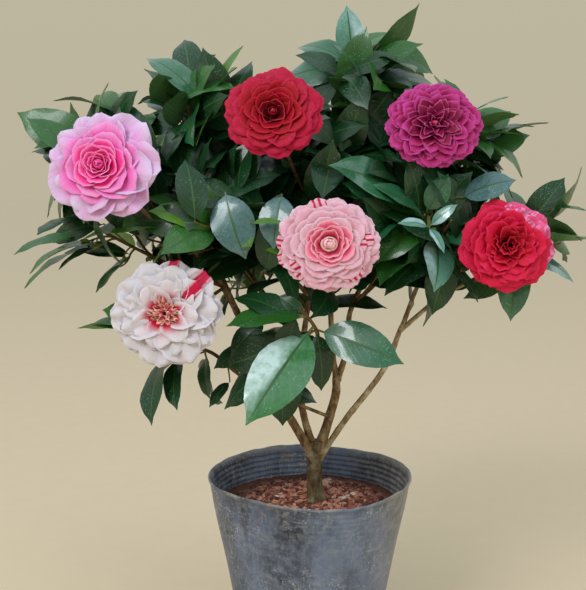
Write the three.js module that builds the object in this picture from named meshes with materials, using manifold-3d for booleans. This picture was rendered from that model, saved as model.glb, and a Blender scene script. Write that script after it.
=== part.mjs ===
// A camellia shrub in a soft nursery pot: several thin stems fork from one short trunk just above the
// soil, carry masses of broad glossy leaves, and hold large double blooms of different kinds.
// Millimetres, +Z up. The origin is the middle of the pot's flat underside, and the plant faces -Y.
import * as THREE from "three";
import { mergeVertices } from "three/addons/utils/BufferGeometryUtils.js";
import Module from "manifold-3d";

const wasm = await Module();
wasm.setup();

// ---- driving sizes ---------------------------------------------------------------------------

const GAP = 0.3; // clearance between solids that touch on the real plant
const GOLDEN = 137.5; // degrees from one leaf to the next round its shoot
const MERGE = 0.15; // edges shorter than this are merged where solids are joined

const pot = {
  height: 190,
  rimRadius: 105,
  footRadius: 68,
  wall: 1.8,
  floor: 3,
  lip: 3.2, // how far the rolled rim stands out
  lipDepth: 7,
  ribs: 1, // rings pressed into the wall under the rim
  ribStep: 6,
  ribRelief: 1.1,
  sides: 36,
  dentAt: 232, // degrees round the pot where its wall is pushed in
  dentDepth: 7,
  dentWidth: 26,
};

const soil = { top: 158, crown: 3 };

const limb = { sides: 6, step: 32 };

const twig = {
  sides: 3,
  steps: 2,
  radii: [1.4, 1],
  stemRadii: [1.9, 1.5], // of the stem that carries a mass
  stalkRadii: [1.7, 2.2], // of a flowering twig
  stemSteps: 4,
};

const leaf = {
  length: 72,
  lead: 84, // the most that a leading leaf measures
  widthShare: 0.235, // half width as a share of the length
  thickness: 1.5,
  stations: [0, 0.3, 0.68, 1],
  widths: [0.035, 0.9, 0.88, 0],
  fold: 6, // degrees that each half is raised from flat
  curl: 46, // degrees that the blade bends down from root to tip
  rise: 0.2, // share of the curl that the root is raised by
  lightUp: 0.65, // how much of a leaf's face looks up, and how much looks out of the crown
  lightOut: 0.75,
  facing: 50, // how far behind the trunk the line is that the leaves look away from
  clear: 0.5,
  tries: 9,
  sunk: 2.4, // cubic millimetres that a leaf's root may share with what it grows from
};

const shoot = {
  lowest: 0.3, // share of the stem below which no shoot starts
  behind: 0.28, // how far before the stem's nearest point a shoot starts, as a share of the stem
  apart: 0.02, // share of the stem from one shoot's start to the next
  leadShare: 0.78, // the most of a shoot's reach that its leading leaf takes up
  sweep: 0.35,
  spacing: 0.2, // from one leaf's root to the next, as a share of the twig
  lean: 38, // degrees that a leaf leans from its twig, and the growth from leaf to leaf
  leanStep: 10,
  leanSpread: 14,
  turnSpread: 16,
  retryLean: 6, // degrees that a leaf without room is moved by for its next try
  retryTurn: 17,
};

const colours = {
  bark: 0x6b5636,
  leaf: 0x1f4a1c,
  soil: 0x5a3b2c,
  pot: 0x5a636e,
};

// ---- the limbs: each is one tapering path, with its radius at the foot and at the tip ---------

const limbs = {
  trunk: { path: [[7.4, 0, soil.top], [5, 0, 190], [6, 0, 225]], radii: [7.6, 7.8], flare: 3.4 },
  bough_left: {
    path: [[2, -1, 212], [-25, -10, 260], [-48, -20, 301], [-69, -35, 357], [-86, -50, 395]],
    radii: [4.6, 2.8],
  },
  bough_left_up: { path: [[-86, -50, 395], [-104, -59, 419], [-127, -70, 445]], radii: [2.5, 2.1] },
  bough_left_side: { path: [[-85, -49, 392], [-112, -50, 402], [-138, -52, 414]], radii: [2.2, 1.8] },
  bough_left_rise: { path: [[-69, -35, 357], [-94, -14, 415], [-104, -2, 470]], radii: [2.4, 1.8] },
  bough_middle: {
    path: [[4, 1, 214], [-9, 0, 268], [-8, 5, 319], [0, 6, 382], [7, 0, 474]],
    radii: [4, 2.3],
  },
  bough_centre: { path: [[9, 1, 212], [26, 8, 266], [28, 10, 290]], radii: [5, 4] },
  bough_centre_high: {
    path: [[28, 10, 288], [24, 8, 319], [22, 8, 372], [28, 12, 450], [37, 10, 539]],
    radii: [3.1, 2.1],
  },
  bough_centre_right: {
    path: [[29, 10, 286], [40, 14, 323], [43, 20, 359], [68, 26, 410], [98, 20, 470]],
    radii: [3.2, 2.1],
  },
  bough_right: { path: [[8, 1, 202], [37, 0, 247], [75, -5, 300], [93, -8, 346]], radii: [3.3, 2.6] },
  bough_right_high: { path: [[93, -8, 344], [108, -12, 388], [122, -22, 424]], radii: [2.3, 1.9] },
  bough_right_low: { path: [[92, -8, 342], [128, -20, 376], [160, -30, 396]], radii: [2.2, 1.8] },
  bough_low_left: {
    path: [[19, 3, 250], [-18, -16, 270], [-64, -38, 298], [-90, -48, 322]],
    radii: [1.7, 1.5],
  },
  bough_front: { path: [[-8, 4, 315], [2, -38, 330], [6, -72, 346]], radii: [2.3, 1.9] },
  bough_front_left: { path: [[-1, 5, 376], [-24, -28, 404], [-44, -48, 428]], radii: [2.2, 1.8] },
  bough_back_left: { path: [[-8, 5, 330], [-42, 42, 366], [-78, 76, 410]], radii: [2.6, 1.9] },
  bough_back: { path: [[23, 9, 378], [14, 56, 424], [8, 88, 476]], radii: [2.4, 1.8] },
  bough_back_right: { path: [[45, 20, 364], [78, 62, 388], [112, 92, 420]], radii: [2.5, 1.9] },
};

// ---- the blooms: tiers of petals turned round the way that each bloom faces --------------------

const head = {
  segments: 24, // divides evenly into the petals of each tier
  petals: [8, 6, 4], // from the outer tier to the heart
  notch: 0.16, // how far the gap between two petals cuts into its tier, as a share of the radius
  stalkEnd: -0.3, // where on its axis the flowering twig ends, as a share of the radius
  swirl: 5, // degrees that each ring is turned on from the one behind
  rings: [
    // radius and height as shares of the bloom's radius, and the tier whose petals end there
    [0.13, -0.34],
    [0.55, -0.16],
    [1, -0.02, 0],
    [0.62, 0.03],
    [0.74, 0.2, 1],
    [0.4, 0.16],
    [0.46, 0.34, 2],
    [0.2, 0.24],
    [0.13, 0.42],
  ],
};

// The middle of each bloom, the way it faces, its radius, and its twig's foot and bend.
const blooms = {
  bloom_pink: { at: [-185, -112, 504], face: [-0.12, -0.97, 0.2], radius: 50, colour: 0xe072b4,
    stalk: [[-120, -67, 437], [-142, -98, 448]] },
  bloom_red: { at: [-35, -100, 552], face: [-0.05, -0.97, 0.22], radius: 46, colour: 0xa51226,
    stalk: [[5.6, 0.8, 461], [-16, -44, 496]] },
  bloom_magenta: { at: [109, -92, 542], face: [0.02, -0.98, 0.18], radius: 45, colour: 0xb02a72,
    stalk: [[94, 20.8, 463], [104, -34, 492]] },
  bloom_striped: { at: [13, -150, 438], face: [0.02, -0.99, 0.1], radius: 46, colour: 0xe49aae,
    stalk: [[1, 5, 390], [8, -84, 402]] },
  bloom_scarlet: { at: [181, -84, 433], face: [0.1, -0.98, 0.1], radius: 46, colour: 0xb80f2c,
    stalk: [[152, -27, 390.5], [174, -54, 402]] },
  bloom_white: { at: [-132, -112, 374], face: [-0.06, -0.98, 0.08], radius: 51, colour: 0xe2dfdd,
    stalk: [[-84, -48, 390], [-112, -78, 372]] },
};

// ---- the foliage: each mass grows on one stem from the tip of a bough -------------------------
// A shoot is [x, y, z that its leading leaf reaches, number of leaves, turn of the second leaf].

const masses = {
  foliage_crown_top: { on: "bough_centre_high", stem: [47, 6, 610], seed: 11, shoots: [
    [108, -30, 626, 3, 60], [-16, -20, 616, 4, 120], [94, -60, 579, 3, 200], [35, 10, 668, 3, 0],
    [108, 0, 670, 3, 160], [64, 85, 644, 4, 20],
  ] },
  foliage_upper_left: { on: "bough_left_rise", stem: [-112, -2, 572], seed: 23, shoots: [
    [-166, -40, 572, 3, 80], [-68, -58, 574, 3, 10], [-65, -8, 625, 4, 120], [-163, -8, 604, 3, 200],
    [-121, 70, 609, 4, 90],
  ] },
  foliage_left_high: { on: "bough_left_up", stem: [-189, -46, 538], seed: 31, shoots: [
    [-266, -36, 530, 3, 150], [-279, -60, 550, 3, 200], [-132, -70, 540, 3, 300],
    [-220, 14, 576, 3, 10],
  ] },
  foliage_left_low: { on: "bough_left_side", stem: [-205, -52, 448], seed: 43, shoots: [
    [-268, -76, 403, 3, 180], [-207, -50, 385, 3, 30], [-296, -56, 424, 3, 90],
    [-270, -40, 479, 3, 20],
  ] },
  foliage_low_left: { on: "bough_low_left", stem: [-134, -52, 335], seed: 52, shoots: [
    [-226, -62, 353, 3, 200], [-158, -66, 282, 2, 20], [-95, -70, 285, 3, 60],
  ] },
  foliage_front_low: { on: "bough_front", stem: [-11, -104, 378], seed: 64, shoots: [
    [-56, -152, 279, 3, 235], [85, -112, 331, 3, 220], [-77, -118, 361, 3, 330], [10, -76, 294, 3, 60],
  ] },
  foliage_front_left: { on: "bough_front_left", stem: [-92, -80, 451], seed: 77, shoots: [
    [-56, -112, 431, 3, 200], [-158, -76, 478, 3, 120], [-68, -70, 484, 3, 20],
  ] },
  foliage_upper_middle: { on: "bough_middle", stem: [2, -10, 513], seed: 85, shoots: [
    [-41, -60, 474, 3, 200], [32, -58, 528, 3, 330], [-74, -66, 495, 3, 90], [-10, 50, 557, 3, 20],
  ] },
  foliage_right_middle: { on: "bough_right_high", stem: [106, -62, 458], seed: 91, shoots: [
    [115, -86, 388, 3, 270], [109, -40, 348, 3, 300], [12, -96, 507, 3, 120], [114, -112, 430, 3, 20],
  ] },
  foliage_right_high: { on: "bough_centre_right", stem: [140, 0, 531], seed: 102, shoots: [
    [190, -50, 480, 3, 60], [207, -30, 539, 3, 350], [175, -24, 572, 3, 90], [177, 90, 560, 4, 30],
    [242, 40, 484, 3, 200],
  ] },
  foliage_right_side: { on: "bough_right_low", stem: [211, -36, 449], seed: 121, shoots: [
    [137, -44, 387, 2, 130], [267, -30, 510, 3, 30], [257, -50, 395, 3, 330], [262, 44, 442, 3, 200],
  ] },
  foliage_back_left: { on: "bough_back_left", stem: [-133, 104, 484], seed: 127, shoots: [
    [-210, 96, 484, 3, 120], [-194, 124, 380, 3, 200], [-110, 140, 379, 3, 300],
    [-177, 110, 550, 3, 60],
  ] },
  foliage_back: { on: "bough_back", stem: [-9, 116, 528], seed: 136, shoots: [
    [-55, 140, 586, 3, 90], [48, 130, 563, 3, 200], [3, 176, 484, 4, 300], [-44, 150, 425, 3, 30],
  ] },
  foliage_back_right: { on: "bough_back_right", stem: [150, 114, 450], seed: 149, shoots: [
    [214, 104, 506, 3, 30], [223, 130, 403, 3, 340], [109, 140, 367, 3, 270], [128, 130, 529, 3, 90],
  ] },
};

// ---- helpers ---------------------------------------------------------------------------------

const vector = (p) => new THREE.Vector3(...p);
const radians = THREE.MathUtils.degToRad;
const UP = new THREE.Vector3(0, 0, 1);

// A small seeded generator of numbers from 0 to 1, the same on every machine.
function randomFrom(seed) {
  let state = seed * 7919 + 17;
  return () => {
    state = (state * 16807) % 2147483647;
    return state / 2147483647;
  };
}

// A three.js geometry as a manifold-3d solid.
function solidOf(geometry) {
  const bare = geometry.index ? geometry.toNonIndexed() : geometry.clone();
  bare.deleteAttribute("normal");
  bare.deleteAttribute("uv");
  const merged = mergeVertices(bare, 1e-4);
  const vertProperties = new Float32Array(merged.attributes.position.array);
  const triVerts = new Uint32Array(merged.index.array);
  return new wasm.Manifold(new wasm.Mesh({ numProp: 3, vertProperties, triVerts }));
}

// A manifold-3d solid as a three.js geometry.
function geometryOf(solid) {
  const mesh = solid.getMesh();
  const places = new Float32Array(mesh.numVert * 3);
  for (let i = 0; i < mesh.numVert; i++) {
    places.set(mesh.vertProperties.subarray(i * mesh.numProp, i * mesh.numProp + 3), i * 3);
  }
  return new THREE.BufferGeometry()
    .setAttribute("position", new THREE.BufferAttribute(places, 3))
    .setIndex(new THREE.BufferAttribute(mesh.triVerts, 1));
}

// The largest body of a solid, without the scraps that a cut leaves.
function largest(solid) {
  const bodies = solid.simplify(MERGE).decompose();
  return bodies.sort((a, b) => b.volume() - a.volume())[0];
}

// Moves every vertex of a geometry to where place(x, y, z) says.
function reshape(geometry, place) {
  const at = geometry.attributes.position;
  for (let i = 0; i < at.count; i++) {
    const p = place(at.getX(i), at.getY(i), at.getZ(i));
    at.setXYZ(i, p.x, p.y, p.z);
  }
  return geometry;
}

// A round rod along a curve, whose radius follows radiusAt(share of its length).
function rod(curve, radiusAt, sides, steps) {
  const frames = curve.computeFrenetFrames(steps, false);
  return reshape(new THREE.CylinderGeometry(1, 1, 1, sides, steps), (x, y, z) => {
    const step = Math.round((y + 0.5) * steps);
    const r = radiusAt(step / steps);
    return curve
      .getPoint(step / steps)
      .addScaledVector(frames.normals[step], x * r)
      .addScaledVector(frames.binormals[step], -z * r);
  });
}

const taper = ([from, to], flare = 0) => (t) => from + (to - from) * t + flare * (1 - t) ** 5;

// A thin blade that ends in a point, its section a flat triangle with the keel underneath.
// It leaves root along `along`, with its upper face towards `up`, and bends down by curl degrees.
function blade({ root, along, up, length, halfWidth, thickness, stations, widths, fold, curl }) {
  const side = new THREE.Vector3().crossVectors(along, up).normalize();
  const face = new THREE.Vector3().crossVectors(side, along).normalize();
  const steps = stations.length - 1;
  const spine = [root.clone()];
  const faces = [face.clone()];
  for (let i = 1; i <= steps; i++) {
    const bend = radians(curl * (leaf.rise - (stations[i - 1] + stations[i]) / 2));
    const way = along.clone().multiplyScalar(Math.cos(bend)).addScaledVector(face, Math.sin(bend));
    spine.push(spine[i - 1].clone().addScaledVector(way, length * (stations[i] - stations[i - 1])));
    faces.push(face.clone().multiplyScalar(Math.cos(bend)).addScaledVector(along, -Math.sin(bend)));
  }
  const lift = Math.tan(radians(fold));
  return reshape(new THREE.ConeGeometry(1, 1, 3, steps), (x, y, z) => {
    const step = Math.round((y + 0.5) * steps);
    const across = -Math.sign(Math.round(x * 100));
    const under = z > 0.01 ? 1 : 0;
    const half = halfWidth * widths[step];
    return spine[step]
      .clone()
      .addScaledVector(side, across * half)
      .addScaledVector(faces[step], Math.abs(across) * half * lift - under * thickness);
  });
}

// The way a blade leaves its shoot: leaning from the shoot's axis, at a turn round it.
function wayOut(axis, lean, turn) {
  const reference = Math.abs(axis.z) > 0.8 ? new THREE.Vector3(1, 0, 0) : UP;
  const right = new THREE.Vector3().crossVectors(axis, reference).normalize();
  const over = new THREE.Vector3().crossVectors(right, axis).normalize();
  return axis
    .clone()
    .multiplyScalar(Math.cos(radians(lean)))
    .addScaledVector(right, -Math.sin(radians(lean)) * Math.cos(radians(turn)))
    .addScaledVector(over, Math.sin(radians(lean)) * Math.sin(radians(turn)))
    .normalize();
}

// ---- the pieces ------------------------------------------------------------------------------

const plant = new THREE.Group();
plant.name = "camellia_in_pot";

function add(name, solid, colour, roughness) {
  const material = new THREE.MeshStandardMaterial({ color: colour, roughness, metalness: 0 });
  const mesh = new THREE.Mesh(geometryOf(solid), material);
  mesh.name = name;
  plant.add(mesh);
}

// Radius of the pot's outside at a height, and the dent in its soft wall at an angle and height.
const potRadius = (z) => pot.footRadius + ((pot.rimRadius - pot.footRadius) * z) / pot.height;

function dented(x, y, z) {
  const angle = (THREE.MathUtils.radToDeg(Math.atan2(y, x)) + 360) % 360;
  const away = (angle - pot.dentAt) / pot.dentWidth;
  const push = pot.dentDepth * Math.exp(-away * away) * THREE.MathUtils.smoothstep(z, 60, pot.height);
  const r = Math.hypot(x, y);
  const scale = r > pot.footRadius / 2 ? (r - push) / r : 1;
  return new THREE.Vector3(x * scale, y * scale, z);
}

// The pot, or with a swell the space that its contents keep clear of.
function potSolid(swell = 0) {
  const wall = pot.wall + swell;
  const floor = pot.floor + swell;
  const outside = [[0, 0], [pot.footRadius, 0]];
  const inside = [[0, floor], [potRadius(floor) - wall, floor]];
  const ribFoot = pot.height - pot.lipDepth - pot.ribs * pot.ribStep;
  for (const z of [100, soil.top, ribFoot]) {
    outside.push([potRadius(z), z]);
    inside.push([potRadius(z) - wall, z]);
  }
  for (let rib = 0; rib < pot.ribs; rib++) {
    const z = ribFoot + (rib + 0.5) * pot.ribStep;
    for (const [dz, relief] of [[0, pot.ribRelief], [pot.ribStep * 0.5, 0]]) {
      outside.push([potRadius(z + dz) + relief, z + dz]);
      inside.push([potRadius(z + dz) - wall + relief, z + dz]);
    }
  }
  outside.push([pot.rimRadius + pot.lip - 1, pot.height - pot.lipDepth * 0.6]);
  outside.push([pot.rimRadius + pot.lip, pot.height - 2]);
  outside.push([pot.rimRadius + pot.lip - 1.4, pot.height]);
  inside.push([pot.rimRadius - wall + 0.6, pot.height - 1]);
  const profile = [...outside, ...inside.reverse()].map(([r, z]) => new THREE.Vector2(r, z));
  const turned = new THREE.LatheGeometry(profile, pot.sides).rotateX(Math.PI / 2);
  return solidOf(reshape(turned, dented));
}

// The soil fills the pot to its line, heaped a little round the trunk.
function soilSolid() {
  const intoWall = pot.wall / 2;
  const profile = [
    [0, pot.floor / 2],
    [potRadius(0) - intoWall, pot.floor / 2],
    [potRadius(100) - intoWall, 100],
    [potRadius(soil.top) - intoWall, soil.top],
    [60, soil.top + soil.crown * 0.6],
    [24, soil.top + soil.crown],
    [0, soil.top + soil.crown],
  ].map(([r, z]) => new THREE.Vector2(r, z));
  const turned = new THREE.LatheGeometry(profile, pot.sides).rotateX(Math.PI / 2);
  return largest(solidOf(reshape(turned, dented)).subtract(potSolid(GAP)));
}

const standing = []; // every solid that the next one keeps clear of

function stand(solid) {
  const box = solid.boundingBox();
  standing.push({ solid, low: box.min, high: box.max });
}

// Whether a solid keeps at least `clear` from everything that stands already.
function isClear(solid, clear) {
  const box = solid.boundingBox();
  return standing.every(({ solid: other, low, high }) => {
    const apart = [0, 1, 2].some((k) => box.min[k] > high[k] + clear || box.max[k] < low[k] - clear);
    return apart || other.minGap(solid, clear * 2) >= clear;
  });
}

const curveOf = ({ path }) => new THREE.CatmullRomCurve3(path.map(vector), false, "catmullrom", 0.5);

function limbSolid(shape, swell = 0) {
  const curve = curveOf(shape);
  const steps = Math.max(3, Math.round(curve.getLength() / limb.step));
  const radius = taper(shape.radii, shape.flare);
  return solidOf(rod(curve, (t) => radius(t) + swell, limb.sides, steps));
}

// A bloom: tiers of scalloped petals round one axis, on its own flowering twig.
function bloomSolid({ at, face, radius, stalk }) {
  const axis = vector(face).normalize();
  const right = new THREE.Vector3().crossVectors(UP, axis).normalize();
  const over = new THREE.Vector3().crossVectors(axis, right);
  const last = head.rings.length - 1;
  const middle = vector(at);
  const tiers = reshape(new THREE.CylinderGeometry(1, 1, 1, head.segments, last), (x, y, z) => {
    const ring = Math.round((y + 0.5) * last);
    const [share, rise, tier] = head.rings[ring];
    const angle = Math.atan2(-z, x) + radians(head.swirl * ring);
    const petal = Math.abs(Math.sin((Math.atan2(-z, x) * head.petals[tier ?? 0]) / 2));
    const scallop = tier === undefined ? 1 : 1 - head.notch * (1 - petal);
    const r = Math.hypot(x, z) * share * scallop * radius;
    return middle
      .clone()
      .addScaledVector(right, r * Math.cos(angle))
      .addScaledVector(over, r * Math.sin(angle))
      .addScaledVector(axis, rise * radius);
  });
  const back = middle.addScaledVector(axis, head.stalkEnd * radius);
  const line = new THREE.QuadraticBezierCurve3(vector(stalk[0]), vector(stalk[1]), back);
  return solidOf(tiers).add(solidOf(rod(line, taper(twig.stalkRadii), twig.sides + 1, twig.stemSteps)));
}

// A leaf of a shoot: number i from the tip, on its try'th attempt to find room. The leading leaf
// carries the shoot's line on to the point that the shoot reaches; the rest stand round the twig.
function leafAt(line, i, attempt, random) {
  const [ofLean, ofTurn, ofLength, ofCurl] = [random(), random(), random(), random()];
  const share = i === 0 ? 0.99 : 0.97 - (i - 1) * shoot.spacing;
  const root = line.curve.getPoint(share);
  const axis = line.curve.getTangent(share).normalize();
  const up = lightAt(root);
  const curl = leaf.curl * (0.7 + 0.6 * ofCurl);
  const spread = (ofLean - 0.5) * shoot.leanSpread;
  const lean = shoot.lean + i * shoot.leanStep + spread + attempt * shoot.retryLean;
  const retry = attempt * (i % 2 ? shoot.retryTurn : -shoot.retryTurn);
  const turn = line.turn + i * GOLDEN + (ofTurn - 0.5) * shoot.turnSpread + retry;
  const length = i === 0 ? line.lead : leaf.length * (0.86 + 0.3 * ofLength);
  const along = i === 0 ? liftedTo(line.way, up, curl) : wayOut(axis, lean, turn);
  return { ...leaf, root, along, up, length, halfWidth: length * leaf.widthShare, curl };
}

// The way that a leading leaf sets out, so that after its curl it still ends where it should.
function liftedTo(way, up, curl) {
  const side = new THREE.Vector3().crossVectors(way, up).normalize();
  return way.clone().applyAxisAngle(side, radians(curl * (0.5 - leaf.rise)));
}

// Where a leaf's upper face looks: up, and outward from a line behind the crown's middle.
function lightAt(root) {
  const outward = new THREE.Vector3(root.x / 2, root.y - leaf.facing, 0).normalize();
  return UP.clone().multiplyScalar(leaf.lightUp).addScaledVector(outward, leaf.lightOut);
}

// The line of a shoot from its stem, and the length and way of its leading leaf.
function lineOf(stem, [x, y, z, leaves, turn], index) {
  const reach = new THREE.Vector3(x, y, z);
  const shares = [shoot.lowest, 0.44, 0.58, 0.72, 0.86, 1];
  const nearest = shares.reduce((best, share) =>
    stem.getPoint(share).distanceTo(reach) < stem.getPoint(best).distanceTo(reach) ? share : best,
  );
  const from = Math.max(shoot.lowest, nearest - shoot.behind) + index * shoot.apart;
  const start = stem.getPoint(from);
  const lead = Math.min(leaf.lead, start.distanceTo(reach) * shoot.leadShare);
  const way = reach.clone().sub(start).normalize();
  const end = reach.clone().addScaledVector(way, -lead);
  const bend = start.clone().addScaledVector(stem.getTangent(from), start.distanceTo(end) * shoot.sweep);
  return { curve: new THREE.QuadraticBezierCurve3(start, bend, end), lead, way, leaves, turn };
}

// A mass of foliage: one stem from its bough's tip, shoots along it, and leaves round each shoot.
function massSolid({ on, stem, seed, shoots }) {
  const bough = curveOf(limbs[on]);
  const way = bough.getTangent(1).normalize();
  const foot = bough.getPoint(1).addScaledVector(way, GAP);
  const end = vector(stem);
  const sweep = foot.clone().addScaledVector(way, foot.distanceTo(end) * 0.4);
  const main = new THREE.QuadraticBezierCurve3(foot, sweep, end);
  const lines = shoots.map((entry, index) => lineOf(main, entry, index));
  let mass = solidOf(rod(main, taper(twig.stemRadii), twig.sides + 1, twig.stemSteps));
  for (const line of lines) {
    const rodOfLine = solidOf(rod(line.curve, taper(twig.radii), twig.sides, twig.steps));
    line.grows = isClear(rodOfLine, leaf.clear);
    if (line.grows) mass = mass.add(rodOfLine);
  }
  lines.forEach((line, index) => {
    const random = randomFrom(seed + index);
    for (let i = 0; line.grows && i < line.leaves; i++) {
      for (let attempt = 0; attempt < leaf.tries; attempt++) {
        const made = solidOf(blade(leafAt(line, i, attempt, random)));
        if (mass.intersect(made).volume() > leaf.sunk || !isClear(made, leaf.clear)) continue;
        mass = mass.add(made);
        break;
      }
    }
  });
  return mass;
}

// ---- assembly --------------------------------------------------------------------------------

add("pot", potSolid(), colours.pot, 0.55);
add("soil", soilSolid(), colours.soil, 0.95);

// The trunk ends in a flat cut where it meets the soil, and each limb keeps clear of those before it.
const block = 60;
const ground = new THREE.CylinderGeometry(block, block, block, 8).rotateX(Math.PI / 2);
const taken = [solidOf(ground.translate(0, 0, soil.top + soil.crown + GAP - block / 2))];
for (const [name, shape] of Object.entries(limbs)) {
  const solid = largest(taken.reduce((rest, other) => rest.subtract(other), limbSolid(shape)));
  taken.push(limbSolid(shape, GAP));
  stand(solid);
  add(name, solid, colours.bark, 0.85);
}

for (const [name, bloom] of Object.entries(blooms)) {
  const solid = largest(taken.reduce((rest, other) => rest.subtract(other), bloomSolid(bloom)));
  stand(solid);
  add(name, solid, bloom.colour, 0.6);
}

for (const [name, mass] of Object.entries(masses)) {
  const solid = largest(massSolid(mass));
  stand(solid);
  add(name, solid, colours.leaf, 0.35);
}

export default plant;
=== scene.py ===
import math
import bpy
import numpy as np
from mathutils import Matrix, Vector, kdtree, noise


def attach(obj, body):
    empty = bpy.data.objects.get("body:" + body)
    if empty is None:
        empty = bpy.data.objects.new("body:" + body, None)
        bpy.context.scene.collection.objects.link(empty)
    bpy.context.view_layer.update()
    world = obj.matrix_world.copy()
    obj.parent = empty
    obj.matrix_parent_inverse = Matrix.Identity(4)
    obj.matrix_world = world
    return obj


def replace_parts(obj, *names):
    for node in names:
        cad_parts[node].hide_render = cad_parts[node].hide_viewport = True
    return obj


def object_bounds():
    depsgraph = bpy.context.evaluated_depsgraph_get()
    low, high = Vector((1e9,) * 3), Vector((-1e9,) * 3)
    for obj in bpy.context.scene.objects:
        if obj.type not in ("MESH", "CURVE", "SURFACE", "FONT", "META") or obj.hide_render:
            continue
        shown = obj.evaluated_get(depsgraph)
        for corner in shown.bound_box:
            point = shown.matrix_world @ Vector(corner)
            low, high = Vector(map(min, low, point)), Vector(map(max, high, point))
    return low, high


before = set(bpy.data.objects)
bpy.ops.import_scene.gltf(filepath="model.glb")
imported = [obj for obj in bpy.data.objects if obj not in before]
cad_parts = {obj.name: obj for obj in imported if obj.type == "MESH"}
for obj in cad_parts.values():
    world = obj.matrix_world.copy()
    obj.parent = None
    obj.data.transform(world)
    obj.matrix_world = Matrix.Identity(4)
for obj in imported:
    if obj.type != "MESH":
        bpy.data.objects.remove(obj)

# A camellia shrub in a soft nursery pot. Metres, +Z up, the plant faces -Y.
# The plant's places are written in millimetres, as they were measured, and mm turns them into metres.

mm = 0.001
cadLow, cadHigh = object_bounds()
up = np.array([0.0, 0.0, 1.0])


# Shader helpers: sums of sockets are written as plain expressions.

class Wire:
    def __init__(self, finish, socket):
        self.finish, self.socket = finish, socket

    def sum(self, operation, first, second):
        return self.finish.node("Math", {"operation": operation}, {0: first, 1: second})

    def __add__(self, other):
        return self.sum("ADD", self, other)

    def __radd__(self, other):
        return self.sum("ADD", other, self)

    def __sub__(self, other):
        return self.sum("SUBTRACT", self, other)

    def __rsub__(self, other):
        return self.sum("SUBTRACT", other, self)

    def __mul__(self, other):
        return self.sum("MULTIPLY", self, other)

    def __rmul__(self, other):
        return self.sum("MULTIPLY", other, self)

    def __truediv__(self, other):
        return self.sum("DIVIDE", self, other)

    def __pow__(self, other):
        return self.sum("POWER", self, other)

    def __abs__(self):
        return self.sum("ABSOLUTE", self, 0)


class Nodes:
    def __init__(self, tree):
        self.tree = tree

    def feed(self, socket, value):
        if isinstance(value, Wire):
            self.tree.links.new(value.socket, socket)
        else:
            socket.default_value = value

    def node(self, kind, settings=None, sockets=None, out=0):
        made = self.tree.nodes.new("ShaderNode" + kind)
        for name, value in (settings or {}).items():
            if name == "stops":
                for element, (place, colour) in zip(self.stopsOf(made, len(value)), value):
                    element.position, element.color = place, colour
            else:
                setattr(made, name, value)
        for name, value in (sockets or {}).items():
            self.feed(made.inputs[name], value)
        return Wire(self, made.outputs[out])

    def stopsOf(self, made, count):
        while len(made.color_ramp.elements) < count:
            made.color_ramp.elements.new(0.5)
        return made.color_ramp.elements

    def parts(self, vector):
        split = self.node("SeparateXYZ", {}, {0: vector}).socket.node
        return [Wire(self, split.outputs[i]) for i in range(3)]


class Finish(Nodes):
    def __init__(self, name, **look):
        self.material = bpy.data.materials.new(name)
        self.material.use_nodes = True
        super().__init__(self.material.node_tree)
        self.tree.nodes.clear()
        self.shader = self.tree.nodes.new("ShaderNodeBsdfPrincipled")
        out = self.tree.nodes.new("ShaderNodeOutputMaterial")
        self.tree.links.new(self.shader.outputs[0], out.inputs["Surface"])
        for socket, value in look.items():
            self.set(socket, value)

    def set(self, socket, value):  # baseColor becomes "Base Color"
        words = "".join(" " + c if c.isupper() else c for c in socket).title()
        self.feed(self.shader.inputs[words.replace("Ior", "IOR")], value)

    def place(self):  # metres, as every piece sits at the origin
        return self.node("TexCoord", out="Object")

    def along(self):  # (root to tip, side to side, chance) of a leaf or petal
        return self.node("Attribute", {"attribute_name": "place"}, out="Vector")

    def stretch(self, vector, by):
        return self.node("VectorMath", {"operation": "MULTIPLY"}, {0: vector, 1: by})

    def grain(self, scale, detail=3, rough=0.5, at=None):
        return self.node("TexNoise", {}, {"Vector": at or self.place(), "Scale": scale,
                                          "Detail": detail, "Roughness": rough})

    def cells(self, scale):
        return self.node("TexVoronoi", {}, {"Vector": self.place(), "Scale": scale})

    def ramp(self, factor, *stops):  # grey stops, as (place, level)
        grey = [(p, (level, level, level, 1)) for p, level in stops]
        return self.node("ValToRGB", {"stops": grey}, {0: factor})

    def mix(self, factor, first, second):
        return self.node("Mix", {"data_type": "RGBA"}, {0: factor, 6: first, 7: second}, out=2)

    def bump(self, height, strength, distance):
        self.set("normal", self.node("Bump", {}, {"Height": height, "Strength": strength,
                                                  "Distance": distance}))
        return self


def colour(red, green, blue):  # from the 0 to 255 of a paint chart
    linear = [c / 255 / 12.92 if c < 10.3 else ((c / 255 + 0.055) / 1.055) ** 2.4
              for c in (red, green, blue)]
    return (*linear, 1)


# Vector helpers.

def unit(v):
    return v / math.sqrt(v[0] * v[0] + v[1] * v[1] + v[2] * v[2])


def cross(a, b):
    return np.array([a[1] * b[2] - a[2] * b[1], a[2] * b[0] - a[0] * b[2], a[0] * b[1] - a[1] * b[0]])


def spot(x, y, z):
    return np.array([x, y, z]) * mm


def ease(low, high, x):
    t = np.clip((x - low) / (high - low), 0, 1)
    return t * t * (3 - 2 * t)


def drawsFrom(seed):  # a small seeded run of numbers from 0 to 1
    state = seed * 7919 + 17
    while True:
        state = state * 16807 % 2147483647
        yield state / 2147483647


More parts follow.
